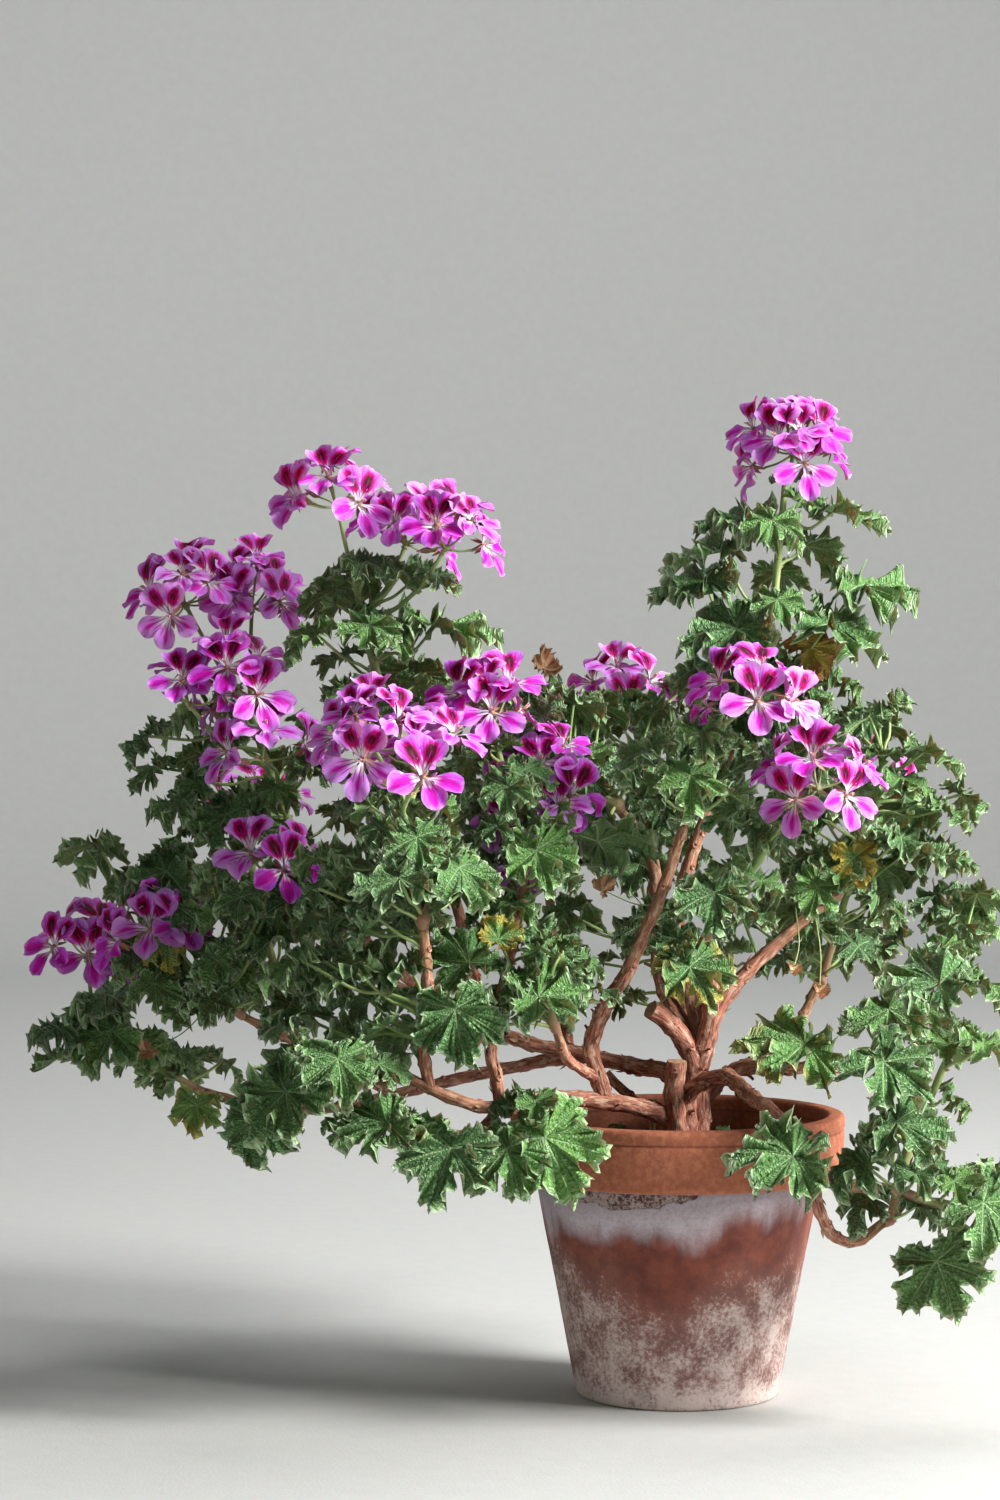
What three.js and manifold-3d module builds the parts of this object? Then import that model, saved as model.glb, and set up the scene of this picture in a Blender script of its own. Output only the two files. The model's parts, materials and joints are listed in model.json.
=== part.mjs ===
// Potted regal geranium: an old woody plant with leafy shoots and two-tone flower heads,
// standing in a weathered clay pot. Millimetres, +Z up, the origin at the middle of the pot's foot.

import * as THREE from 'three';
import Module from 'manifold-3d';

const wasm = await Module();
wasm.setup();

// ---------------------------------------------------------------- driving dimensions

const RIM_DIAMETER = 220;
const RIM_HEIGHT = 40;
const RIM_WALL = 12;
const RIM_TAPER = 1.5;
const POT_HEIGHT = 185;
const BODY_TOP_DIAMETER = 188;
const FOOT_DIAMETER = 134;
const WALL = 8;
const FLOOR = 10;
const FOOT_CHAMFER = 3;
const LIP_ROUNDING = 3;
const DRAIN_DIAMETER = 13;
const DRAIN_CIRCLE = 68;
const DRAIN_COUNT = 3;
const DRAIN_FIRST = 0.25;
const DRAIN_SIDES = 8;
const POT_SIDES = 28;

const SOIL_LEVEL = 150;
const SOIL_CROWN = 4;
const SOIL_SHOULDER = 0.7;
const SOIL_SIDES = 16;
const WALL_GAP = 0.65;
const CROWN_RADIUS = 23;
const CROWN_DEPTH = 26;
const CROWN_CENTRE = [4, -2];
const CROWN_SIDES = 12;
// How high the root crown stands out of the soil: at its edge, at its shoulder and in the middle.
const CROWN_RISE = { edge: 3, shoulder: 14, middle: 18 };
const CROWN_SHOULDER = 0.6;
const GAP = 0.35;

const THICK_SIDES = 5;
const THIN_SIDES = 4;
const THICK_WOOD = 4.5;
const SHOOT_SIDES = 4;
const SHOOT_END = 2.1;
const STRAIGHT_START = 8;
const STALK_SIDES = 3;
const STALK_START = 1.7;
const STALK_END = 1.3;
const BLADE = 0.7;
const PETAL = 0.65;
const PETIOLE = 1.05;
const PEDICEL = 0.75;
const STUB_LENGTH = 3;
const HUB = 3;
const FLOWER_REACH = 25;
const FLOWER_STALK = 25;
const HEAD_ROOM = 32;
const HEAD_MIDDLE = 15;
const SAFE = 0.3;

const GOLDEN_ANGLE = 2.399963;
const CUT_OVER = 1;

// Outlines of a leaf and of a flower, seen from above: the turn from the tip, how far each point
// reaches as a share of the size, how high it stands, and whether it is a notch. A leaf has five
// lobes, and a flower has two broad upper petals and three narrower lower ones. The two faces of a
// blade meet at the bottom of each notch.
const NOTCH = true;
const LEAF_OUTLINE = [
  [0, 1.0, -0.2], [27, 0.68, -0.02, NOTCH], [54, 0.98, -0.24], [83, 0.62, -0.02, NOTCH],
  [113, 0.82, -0.2], [180, 0.1, -0.03, NOTCH], [247, 0.82, -0.22], [277, 0.62, -0.02, NOTCH],
  [306, 0.98, -0.18], [333, 0.68, -0.02, NOTCH],
];
const FLOWER_OUTLINE = [
  [0, 0.5, 0.16, NOTCH], [9, 1.0, 0.34], [43, 1.0, 0.26], [70, 0.3, 0.08, NOTCH], [95, 0.88, 0.24],
  [127, 0.9, 0.22], [146, 0.26, 0.07, NOTCH], [163, 0.92, 0.26], [197, 0.92, 0.26],
  [214, 0.26, 0.07, NOTCH], [233, 0.9, 0.22], [265, 0.88, 0.24], [290, 0.3, 0.08, NOTCH],
  [317, 1.0, 0.26], [351, 1.0, 0.34],
];

// Woody stems: radius at the start and at the end, and the route of each.
const WOOD = {
  trunk: {
    start: 10, end: 6,
    route: [[11, 4, 148], [14, 10, 178], [14, 14, 198], [11, 14, 219], [2, 8, 235], [-8, 2, 246],
      [-18, -4, 253]],
  },
  upright_right: {
    start: 6.5, end: 3.4,
    route: [[14, 14, 205], [17, 24, 230], [12, 34, 256], [3, 44, 285], [2, 50, 312],
      [10, 56, 345], [23, 62, 379], [37, 66, 410]],
  },
  upright_left: {
    start: 6, end: 3.2,
    route: [[13, 14, 215], [6, 30, 236], [-6, 44, 259], [-11, 52, 285], [-12, 54, 312],
      [-13, 52, 342], [-23, 44, 366], [-36, 36, 382]],
  },
  stub: { start: 5.5, end: 4.6, route: [[15, 14, 218], [22, 4, 255], [20, -2, 292]] },
  rise_right: {
    start: 6, end: 3.2,
    route: [[15, 12, 212], [25, 14, 246], [36, 18, 263], [50, 24, 278], [68, 30, 294],
      [86, 38, 309], [104, 46, 322]],
  },
  spur_diagonal: { start: 4, end: 3.4, route: [[22, 5, 252], [14, -14, 270], [8, -24, 283]] },
  arch_front: {
    start: 6, end: 3.2,
    route: [[8, 0, 160], [7, -16, 199], [27, -34, 212], [36, -50, 209], [45, -76, 202],
      [53, -100, 199], [62, -126, 188], [76, -140, 166], [100, -134, 155], [123, -126, 152]],
  },
  loop_front: {
    start: 3.8, end: 3,
    route: [[76, -140, 166], [80, -140, 144], [90, -132, 124], [106, -120, 118],
      [123, -112, 128]],
  },
  low_left: {
    start: 6.5, end: 3,
    route: [[4, -2, 160], [-8, -14, 182], [-26, -28, 191], [-49, -42, 197], [-79, -60, 201],
      [-104, -82, 201], [-126, -96, 199], [-145, -102, 205], [-161, -106, 212],
      [-177, -110, 220], [-196, -114, 218]],
  },
  spur_rim: { start: 3.6, end: 3, route: [[-75, -58, 200], [-84, -82, 198], [-89, -98, 196]] },
  spur_low: {
    start: 3.6, end: 2.6,
    route: [[-117, -90, 200], [-127, -106, 188], [-142, -116, 184], [-162, -124, 185],
      [-177, -128, 182]],
  },
  upright_front: {
    start: 5.5, end: 3,
    route: [[-49, -42, 197], [-55, -46, 218], [-58, -48, 234], [-48, -52, 262],
      [-37, -54, 278], [-23, -58, 310], [-12, -60, 336], [1, -62, 376]],
  },
  knee_left: {
    start: 4, end: 3,
    route: [[-117, -90, 200], [-119, -90, 216], [-123, -88, 234], [-118, -82, 260],
      [-111, -74, 291], [-104, -64, 322]],
  },
  knee_front: {
    start: 3.8, end: 3,
    route: [[-54, -45, 212], [-66, -60, 220], [-75, -72, 229], [-81, -82, 246]],
  },
  riser_front: {
    start: 3.8, end: 3,
    route: [[-161, -106, 212], [-165, -112, 237], [-162, -114, 275], [-165, -112, 312]],
  },
  back_left: {
    start: 6, end: 3.2,
    route: [[11, 12, 190], [-5, 32, 207], [-23, 44, 210], [-43, 54, 213], [-70, 64, 218],
      [-97, 72, 223], [-124, 78, 232], [-158, 82, 245], [-189, 84, 262], [-218, 82, 283]],
  },
  riser_left: {
    start: 4.4, end: 3.2,
    route: [[-124, 78, 232], [-135, 64, 270], [-147, 50, 322], [-161, 40, 366]],
  },
  spur_left: { start: 3.6, end: 2.8, route: [[-158, 82, 245], [-183, 58, 271], [-206, 34, 296]] },
  low_back: {
    start: 4.6, end: 2.6,
    route: [[-56, 60, 215], [-86, 84, 210], [-144, 104, 196], [-191, 118, 183],
      [-245, 132, 171], [-291, 142, 174], [-323, 146, 182]],
  },
  spur_outer: {
    start: 3.4, end: 2.6,
    route: [[-191, 118, 183], [-224, 112, 203], [-261, 98, 223], [-291, 84, 240]],
  },
  spur_outer_back: {
    start: 3.2, end: 2.6,
    route: [[-245, 132, 171], [-257, 150, 197], [-266, 164, 231]],
  },
  riser_back: {
    start: 4.4, end: 3.2,
    route: [[-70, 64, 218], [-74, 104, 243], [-78, 134, 282], [-83, 150, 323]],
  },
  stump: { start: 7, end: 6.2, route: [[2, -8, 148], [-3, -20, 196], [-2, -24, 221]] },
  inner_stub: {
    start: 4, end: 3.4,
    route: [[11, 12, 176], [-17, 34, 181], [-34, 42, 194], [-46, 46, 205]],
  },
  back_right: {
    start: 5.2, end: 3.2,
    route: [[13, 12, 194], [43, 36, 209], [78, 50, 208], [98, 56, 210], [116, 58, 208],
      [137, 54, 219]],
  },
  rise_back: {
    start: 5.4, end: 3.4,
    route: [[13, 12, 196], [16, 56, 227], [1, 96, 258], [-12, 124, 297], [-10, 138, 334]],
  },
  low_back_right: {
    start: 5.2, end: 3.2,
    route: [[13, 10, 186], [37, 66, 203], [65, 118, 209], [90, 152, 225], [108, 172, 255]],
  },
};

// Green shoots, each growing from the end of a woody stem: the rest of the route, how many leaves
// the rule sets along it, and the size, petiole and turn of those leaves.
const SHOOTS = {
  top_right: {
    from: 'upright_right', leaves: 3, size: 38, petiole: 44, turn: 1.4,
    route: [[51, 70, 456], [66, 68, 510], [72, 64, 564], [75, 60, 601]],
  },
  centre: {
    from: 'upright_front', leaves: 3, size: 32, petiole: 34, turn: 0.5,
    route: [[5, -64, 398], [12, -66, 418], [16, -68, 432]],
  },
  diagonal: {
    from: 'spur_diagonal', leaves: 3, size: 34, petiole: 38, turn: 2.2,
    route: [[21, -30, 307], [37, -34, 331], [59, -36, 367], [72, -36, 392]],
  },
  right: {
    from: 'rise_right', leaves: 6, size: 38, petiole: 52, turn: 0.1,
    route: [[120, 52, 350], [135, 54, 385], [141, 52, 416]],
  },
  right_back: {
    from: 'low_back_right', leaves: 5, size: 38, petiole: 50, turn: 0.9,
    route: [[123, 186, 296], [136, 190, 342], [140, 184, 385]],
  },
  right_low: {
    from: 'back_right', leaves: 4, size: 34, petiole: 40, turn: 1.7,
    route: [[157, 48, 235], [176, 40, 259], [191, 32, 286]],
  },
  front_right: {
    from: 'loop_front', leaves: 3, size: 34, petiole: 36, turn: 0.3,
    route: [[134, -108, 155], [145, -106, 186], [159, -102, 217], [172, -98, 246]],
  },
  trail_right: {
    from: 'arch_front', leaves: 2, size: 36, petiole: 38, turn: 2.9,
    route: [[147, -118, 144], [173, -108, 139], [199, -98, 144], [222, -90, 158]],
  },
  back: {
    from: 'rise_back', leaves: 6, size: 38, petiole: 52, turn: 1.1,
    route: [[-12, 146, 379], [-19, 150, 421], [-25, 150, 453]],
  },
  centre_left: {
    from: 'upright_left', leaves: 4, size: 34, petiole: 42, turn: 2.0,
    route: [[-48, 30, 392], [-60, 24, 402], [-71, 20, 409]],
  },
  knee: {
    from: 'knee_left', leaves: 4, size: 34, petiole: 40, turn: 0.8,
    route: [[-102, -56, 350], [-107, -50, 379], [-114, -44, 406], [-118, -42, 423]],
  },
  front_low: {
    from: 'knee_front', leaves: 1, size: 32, petiole: 34, turn: 2.6,
    route: [[-82, -90, 262], [-79, -96, 282], [-79, -98, 299]],
  },
  front_left: {
    from: 'riser_front', leaves: 6, size: 38, petiole: 46, turn: 1.9,
    route: [[-167, -108, 336], [-171, -104, 362], [-174, -100, 384]],
  },
  left_tall: {
    from: 'riser_left', leaves: 7, size: 38, petiole: 50, turn: 0.2,
    route: [[-176, 34, 410], [-193, 30, 456], [-205, 28, 496], [-213, 28, 532]],
  },
  left_mid: {
    from: 'spur_left', leaves: 5, size: 36, petiole: 46, turn: 1.3,
    route: [[-230, 18, 314], [-249, 8, 324], [-264, 2, 326]],
  },
  left: {
    from: 'back_left', leaves: 7, size: 38, petiole: 52, turn: 2.4,
    route: [[-240, 84, 320], [-259, 82, 368], [-275, 76, 412], [-286, 70, 446]],
  },
  left_outer: {
    from: 'spur_outer', leaves: 4, size: 36, petiole: 46, turn: 0.7,
    route: [[-312, 70, 253], [-333, 58, 264], [-343, 52, 271]],
  },
  left_back: {
    from: 'spur_outer_back', leaves: 6, size: 38, petiole: 50, turn: 1.6,
    route: [[-278, 178, 272], [-290, 184, 321], [-297, 182, 364]],
  },
  left_trail: {
    from: 'low_back', leaves: 2, size: 34, petiole: 34, turn: 2.1,
    route: [[-342, 142, 192], [-367, 134, 206], [-390, 126, 218]],
  },
  low_left: {
    from: 'low_left', leaves: 4, size: 36, petiole: 40, turn: 1.0,
    route: [[-212, -118, 214], [-232, -120, 213], [-250, -122, 217]],
  },
  rim_left: {
    from: 'spur_low', leaves: 1, size: 32, petiole: 32, turn: 2.7,
    route: [[-189, -134, 182], [-202, -138, 187]],
  },
  rim_front: {
    from: 'spur_rim', leaves: 0, size: 34, petiole: 30, turn: 0.0,
    route: [[-94, -106, 196], [-100, -112, 198]],
  },
  back_left_tall: {
    from: 'riser_back', leaves: 7, size: 38, petiole: 52, turn: 0.4,
    route: [[-89, 162, 365], [-100, 168, 410], [-111, 168, 453]],
  },
};

// Large leaves set by hand where they show most: the shoot and the place along it, the joint of
// petiole and blade, the way the blade faces, and the turn of its tip in the front view.
const LARGE_LEAVES = [
  { on: 'knee', at: 0.15, joint: [-137, -96, 291], face: [0.1, -0.75, 0.65], aim: 110, size: 34 },
  { on: 'front_low', at: 0.95, joint: [-93, -120, 271], face: [0, -0.6, 0.8], aim: 12, size: 40 },
  { on: 'front_low', at: 0.1, joint: [-145, -128, 264], face: [-0.1, -0.9, 0.4], aim: -80, size: 40 },
  { on: 'diagonal', at: 0.12, joint: [5, -58, 285], face: [0, -0.7, 0.7], aim: -75, size: 36 },
  { on: 'trail_right', at: 0.05, joint: [63, -158, 176], face: [0.1, -0.6, 0.8], aim: 172, size: 44 },
  { on: 'rim_front', at: 0.7, joint: [-89, -128, 184], face: [0.1, -0.9, 0.4], aim: -68, size: 44 },
  { on: 'rim_front', at: 1, joint: [-113, -136, 178], face: [-0.1, -0.8, 0.6], aim: -120, size: 34 },
  { on: 'rim_left', at: 0.2, joint: [-147, -150, 180], face: [-0.1, -0.85, 0.5], aim: -105, size: 42 },
  { on: 'rim_left', at: 0.9, joint: [-186, -152, 195], face: [-0.2, -0.6, 0.8], aim: 200, size: 36 },
  { on: 'low_left', at: 0.9, joint: [-249, -150, 215], face: [-0.3, -0.7, 0.6], aim: -120, size: 42 },
  { on: 'front_right', at: 0.55, joint: [121, -136, 232], face: [0.1, -0.7, 0.7], aim: -55, size: 42 },
  { on: 'front_right', at: 0.3, joint: [128, -146, 196], face: [0.1, -0.6, 0.8], aim: -10, size: 36 },
  { on: 'front_right', at: 1, joint: [158, -118, 279], face: [0, -0.5, 0.85], aim: 150, size: 42 },
  { on: 'right_low', at: 0.1, joint: [85, 10, 229], face: [0.1, -0.45, 0.9], aim: 182, size: 46 },
  { on: 'trail_right', at: 0.5, joint: [156, -122, 106], face: [-0.2, -0.9, 0.3], aim: -70, size: 38 },
  { on: 'trail_right', at: 0.8, joint: [183, -138, 145], face: [0.2, -0.8, 0.5], aim: -50, size: 38 },
  { on: 'knee', at: 0.35, joint: [-94, -84, 361], face: [0, -0.8, 0.6], aim: -80, size: 34 },
  { on: 'centre_left', at: 0.2, joint: [-53, -16, 364], face: [0, 0.5, 0.85], aim: 58, size: 48 },
  { on: 'centre', at: 0.4, joint: [3, -100, 409], face: [0, -0.8, 0.6], aim: -92, size: 30 },
  { on: 'top_right', at: 0.86, joint: [49, 58, 580], face: [-0.15, -0.15, 1], aim: 180, size: 40 },
  { on: 'top_right', at: 0.6, joint: [32, 50, 556], face: [-0.2, -0.1, 1], aim: 178, size: 44 },
  { on: 'top_right', at: 0.45, joint: [21, 60, 537], face: [-0.2, -0.3, 0.95], aim: 190, size: 44 },
  { on: 'top_right', at: 0.84, joint: [107, 60, 583], face: [0.2, -0.1, 1], aim: -8, size: 42 },
  { on: 'top_right', at: 0.5, joint: [125, 66, 533], face: [0.1, -0.3, 0.95], aim: -4, size: 46 },
  { on: 'top_right', at: 0.35, joint: [103, 44, 507], face: [0.3, -0.5, 0.8], aim: -35, size: 46 },
  { on: 'top_right', at: 0.25, joint: [41, 34, 504], face: [-0.1, -0.6, 0.8], aim: 200, size: 46 },
  { on: 'top_right', at: 0.75, joint: [63, 14, 575], face: [0, -0.6, 0.8], aim: -95, size: 30 },
  { on: 'left_tall', at: 0.72, joint: [-160, 28, 506], face: [0.1, -0.05, 1], aim: 4, size: 50 },
  { on: 'left_trail', at: 0.9, joint: [-384, 110, 252], face: [-0.3, -0.3, 0.9], aim: 185, size: 42 },
  { on: 'left_trail', at: 0.55, joint: [-384, 104, 229], face: [-0.3, -0.6, 0.7], aim: 200, size: 40 },
  { on: 'left_outer', at: 1, joint: [-342, 60, 340], face: [-0.3, -0.5, 0.8], aim: 190, size: 42 },
];

// Flower heads: the shoot and the place along it that the stalk leaves, the stalk's route, and the
// number of flowers.
const BLOOMS = {
  top_right: { on: 'top_right', at: 1, flowers: 7, route: [[80, 56, 619]] },
  left_high: { on: 'left_tall', at: 1, flowers: 4, route: [[-219, 24, 557], [-224, 20, 581]] },
  left_high_middle: {
    on: 'left_tall', at: 0.9, flowers: 4, route: [[-192, 36, 532], [-181, 42, 558]],
  },
  left_high_right: {
    on: 'left_tall', at: 0.86, flowers: 3, route: [[-184, 8, 518], [-166, -6, 535], [-154, -12, 553]],
  },
  left_far: { on: 'left', at: 1, flowers: 5, route: [[-309, 66, 483], [-328, 60, 518]] },
  left_far_right: { on: 'left', at: 1, flowers: 5, route: [[-287, 76, 478], [-286, 82, 516]] },
  left_upper: { on: 'left', at: 0.95, flowers: 4, route: [[-287, 40, 442], [-291, 26, 462]] },
  left_upper_low: { on: 'left', at: 0.85, flowers: 2, route: [[-304, 52, 429], [-323, 36, 451]] },
  left_small: { on: 'left', at: 0.7, flowers: 2, route: [[-267, 44, 408], [-274, 22, 415]] },
  left_centre: {
    on: 'front_left', at: 1, flowers: 5, route: [[-181, -104, 402], [-195, -106, 424]],
  },
  left_centre_right: {
    on: 'front_left', at: 1, flowers: 3, route: [[-171, -90, 398], [-163, -84, 413]],
  },
  left_drooping: {
    on: 'front_left', at: 0.95, flowers: 1, route: [[-177, -132, 387], [-173, -144, 398]],
  },
  centre_high: { on: 'knee', at: 1, flowers: 4, route: [[-120, -40, 430], [-121, -40, 438]] },
  centre_left: { on: 'centre_left', at: 1, flowers: 4, route: [[-80, -4, 400], [-87, -20, 398]] },
  centre_low: {
    on: 'centre_left', at: 0.9, flowers: 2, route: [[-78, -10, 383], [-95, -34, 371]],
  },
  left_middle: { on: 'left_mid', at: 1, flowers: 2, route: [[-269, -8, 331], [-269, -14, 339]] },
  left_low: { on: 'left_outer', at: 1, flowers: 3, route: [[-345, 44, 281], [-347, 38, 289]] },
  left_edge: { on: 'left_trail', at: 1, flowers: 3, route: [[-399, 120, 246], [-402, 112, 276]] },
  right_centre: { on: 'centre', at: 1, flowers: 4, route: [[27, -80, 442], [39, -90, 451]] },
  right: { on: 'diagonal', at: 1, flowers: 4, route: [[79, -50, 392], [85, -62, 398]] },
  back_middle: { on: 'back', at: 1, flowers: 3, route: [[-27, 172, 442], [-30, 186, 452]] },
  back_right: { on: 'right_back', at: 1, flowers: 3, route: [[142, 200, 388], [144, 214, 391]] },
  back_left: {
    on: 'back_left_tall', at: 0.85, flowers: 4, route: [[-103, 190, 413], [-106, 210, 424]],
  },
  back_left_low: {
    on: 'left_back', at: 1, flowers: 3, route: [[-296, 200, 365], [-295, 216, 373]],
  },
};

// ---------------------------------------------------------------- finishes

const TERRACOTTA = { color: 0xb5694a, roughness: 0.88, metalness: 0 };
const SOIL = { color: 0x3b2a1f, roughness: 0.95, metalness: 0 };
const BARK = { color: 0x8a553e, roughness: 0.85, metalness: 0 };
const LEAF = { color: 0x3f6b3a, roughness: 0.6, metalness: 0 };
const PETALS = { color: 0xc33fb0, roughness: 0.55, metalness: 0 };

// ---------------------------------------------------------------- small tools

const vector = (point) => new THREE.Vector3(...point);
const radians = THREE.MathUtils.degToRad;

// A repeatable run of numbers from 0 to 1.
function dice(seed) {
  let state = seed >>> 0;
  return () => {
    state = (Math.imul(state, 1664525) + 1013904223) >>> 0;
    return state / 4294967296;
  };
}

function solidFrom(points, faces) {
  const vertProperties = new Float32Array(points.flatMap((point) => point.toArray()));
  const triVerts = new Uint32Array(faces.flat());
  return new wasm.Manifold(new wasm.Mesh({ numProp: 3, vertProperties, triVerts }));
}

// A solid of revolution whose profile starts and ends on the axis.
function latheSolid(profile, sides, centre = [0, 0]) {
  const outline = profile.map(([radius, height]) => new THREE.Vector2(radius, height));
  const geometry = new THREE.LatheGeometry(outline, sides);
  const position = geometry.getAttribute('position');
  const points = [];
  const seen = new Map();
  const order = [];
  for (let i = 0; i < position.count; i += 1) {
    const point = new THREE.Vector3(
      position.getX(i) + centre[0],
      position.getZ(i) + centre[1],
      position.getY(i),
    );
    const key = point.toArray().map((value) => Math.round(value * 1e4)).join();
    if (!seen.has(key)) {
      seen.set(key, points.length);
      points.push(point);
    }
    order.push(seen.get(key));
  }
  const index = geometry.getIndex().array;
  const faces = [];
  for (let i = 0; i < index.length; i += 3) {
    const face = [order[index[i]], order[index[i + 2]], order[index[i + 1]]];
    if (new Set(face).size === 3) {
      faces.push(face);
    }
  }
  const shape = solidFrom(points, faces);
  return shape.volume() > 0 ? shape : solidFrom(points, faces.map(([a, b, c]) => [a, c, b]));
}

const routeCurve = (points) => new THREE.CatmullRomCurve3(points, false, 'catmullrom', 0.5);

// A tapered round stem along a curve, closed by flat ends.
function stem(curve, start, end, sides, steps) {
  const points = [];
  const faces = [];
  let across = new THREE.Vector3(0.3, 1, 0.1);
  for (let step = 0; step <= steps; step += 1) {
    const centre = curve.getPoint(step / steps);
    const ahead = curve.getTangent(step / steps);
    const radius = THREE.MathUtils.lerp(start, end, step / steps);
    across = across.clone().addScaledVector(ahead, -across.dot(ahead)).normalize();
    const beside = ahead.clone().cross(across);
    for (let side = 0; side < sides; side += 1) {
      const angle = (2 * Math.PI * side) / sides;
      const point = centre.clone();
      point.addScaledVector(across, radius * Math.cos(angle));
      point.addScaledVector(beside, radius * Math.sin(angle));
      points.push(point);
    }
  }
  for (let step = 0; step < steps; step += 1) {
    for (let side = 0; side < sides; side += 1) {
      const next = (side + 1) % sides;
      const low = [step * sides + side, step * sides + next];
      const high = [low[0] + sides, low[1] + sides];
      faces.push([low[0], low[1], high[1]], [low[0], high[1], high[0]]);
    }
  }
  const last = steps * sides;
  for (let side = 1; side < sides - 1; side += 1) {
    faces.push([0, side + 1, side], [last, last + side, last + side + 1]);
  }
  return solidFrom(points, faces);
}

const join = (solids) => solids.reduce((whole, solid) => whole.add(solid));

function overlaps(first, second) {
  const a = first.boundingBox();
  const b = second.boundingBox();
  if ([0, 1, 2].some((axis) => a.min[axis] > b.max[axis] || b.min[axis] > a.max[axis])) {
    return false;
  }
  const common = first.intersect(second);
  const found = !common.isEmpty();
  common.delete();
  return found;
}

function meshFrom(name, solid, finish) {
  const { vertProperties, triVerts, numProp } = solid.getMesh();
  if (numProp !== 3) {
    throw new Error(`${name} carries more than positions`);
  }
  const geometry = new THREE.BufferGeometry();
  geometry.setAttribute('position', new THREE.BufferAttribute(vertProperties, 3));
  geometry.setIndex(new THREE.BufferAttribute(triVerts, 1));
  geometry.computeVertexNormals();
  const mesh = new THREE.Mesh(geometry, new THREE.MeshStandardMaterial(finish));
  mesh.name = name;
  return mesh;
}

// ---------------------------------------------------------------- pot and soil

// The inside wall's radius at a height above the floor.
function innerRadius(height) {
  const slope = (BODY_TOP_DIAMETER - FOOT_DIAMETER) / 2 / (POT_HEIGHT - RIM_HEIGHT);
  return FOOT_DIAMETER / 2 - WALL + slope * height;
}

function buildPot() {
  const foot = FOOT_DIAMETER / 2;
  const rim = RIM_DIAMETER / 2;
  const ledge = POT_HEIGHT - RIM_HEIGHT;
  const shell = latheSolid([
    [0, 0],
    [foot - FOOT_CHAMFER, 0],
    [foot, FOOT_CHAMFER],
    [BODY_TOP_DIAMETER / 2, ledge],
    [rim - RIM_TAPER, ledge],
    [rim, POT_HEIGHT - LIP_ROUNDING],
    [rim - LIP_ROUNDING, POT_HEIGHT],
    [rim - RIM_WALL + LIP_ROUNDING, POT_HEIGHT],
    [rim - RIM_WALL, POT_HEIGHT - LIP_ROUNDING],
    [innerRadius(ledge), ledge],
    [innerRadius(FLOOR), FLOOR],
    [0, FLOOR],
  ], POT_SIDES);
  const drain = [
    [0, -CUT_OVER],
    [DRAIN_DIAMETER / 2, -CUT_OVER],
    [DRAIN_DIAMETER / 2, FLOOR + CUT_OVER],
    [0, FLOOR + CUT_OVER],
  ];
  let pot = shell;
  for (let hole = 0; hole < DRAIN_COUNT; hole += 1) {
    const angle = (2 * Math.PI * (hole + DRAIN_FIRST)) / DRAIN_COUNT;
    const centre = [(DRAIN_CIRCLE / 2) * Math.cos(angle), (DRAIN_CIRCLE / 2) * Math.sin(angle)];
    pot = pot.subtract(latheSolid(drain, DRAIN_SIDES, centre));
  }
  return pot;
}

// The soil fills the pot up to a low crown and leaves a plain hole for the plant's root crown.
function buildSoil() {
  const edge = SOIL_LEVEL - SOIL_CROWN;
  const soil = latheSolid([
    [0, FLOOR + GAP],
    [innerRadius(FLOOR) - WALL_GAP, FLOOR + GAP],
    [innerRadius(edge) - WALL_GAP, edge],
    [innerRadius(SOIL_LEVEL) * SOIL_SHOULDER, SOIL_LEVEL - 1],
    [0, SOIL_LEVEL],
  ], SOIL_SIDES);
  const hole = CROWN_RADIUS + GAP;
  const bottom = SOIL_LEVEL - CROWN_DEPTH - GAP;
  const top = SOIL_LEVEL + CUT_OVER;
  const profile = [[0, bottom], [hole, bottom], [hole, top], [0, top]];
  return soil.subtract(latheSolid(profile, CROWN_SIDES, CROWN_CENTRE));
}

// ---------------------------------------------------------------- stems

function buildWood() {
  const bottom = SOIL_LEVEL - CROWN_DEPTH;
  const reach = CROWN_RADIUS * Math.cos(Math.PI / CROWN_SIDES) - 0.2;
  const crown = latheSolid([
    [0, bottom],
    [reach, bottom],
    [reach, SOIL_LEVEL + CROWN_RISE.edge],
    [reach * CROWN_SHOULDER, SOIL_LEVEL + CROWN_RISE.shoulder],
    [0, SOIL_LEVEL + CROWN_RISE.middle],
  ], CROWN_SIDES, CROWN_CENTRE);
  const pieces = Object.values(WOOD).map(({ start, end, route }) => {
    const curve = routeCurve(route.map(vector));
    const sides = start > THICK_WOOD ? THICK_SIDES : THIN_SIDES;
    return stem(curve, start, end, sides, route.length - 1);
  });
  return join([crown, ...pieces]);
}

// A shoot starts a hair above the cut end of its woody stem and leaves it straight.
function shootCurve({ from, route }) {
  const wood = routeCurve(WOOD[from].route.map(vector));
  const tip = wood.getPoint(1);
  const ahead = wood.getTangent(1);
  const first = tip.clone().addScaledVector(ahead, GAP);
  const second = tip.clone().addScaledVector(ahead, STRAIGHT_START);
  return routeCurve([first, second, ...route.map(vector)]);
}

function stalkCurve({ on, at, route }) {
  return routeCurve([shootCurve(SHOOTS[on]).getPoint(at), ...route.map(vector)]);
}

// ---------------------------------------------------------------- blades and flowers

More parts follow.
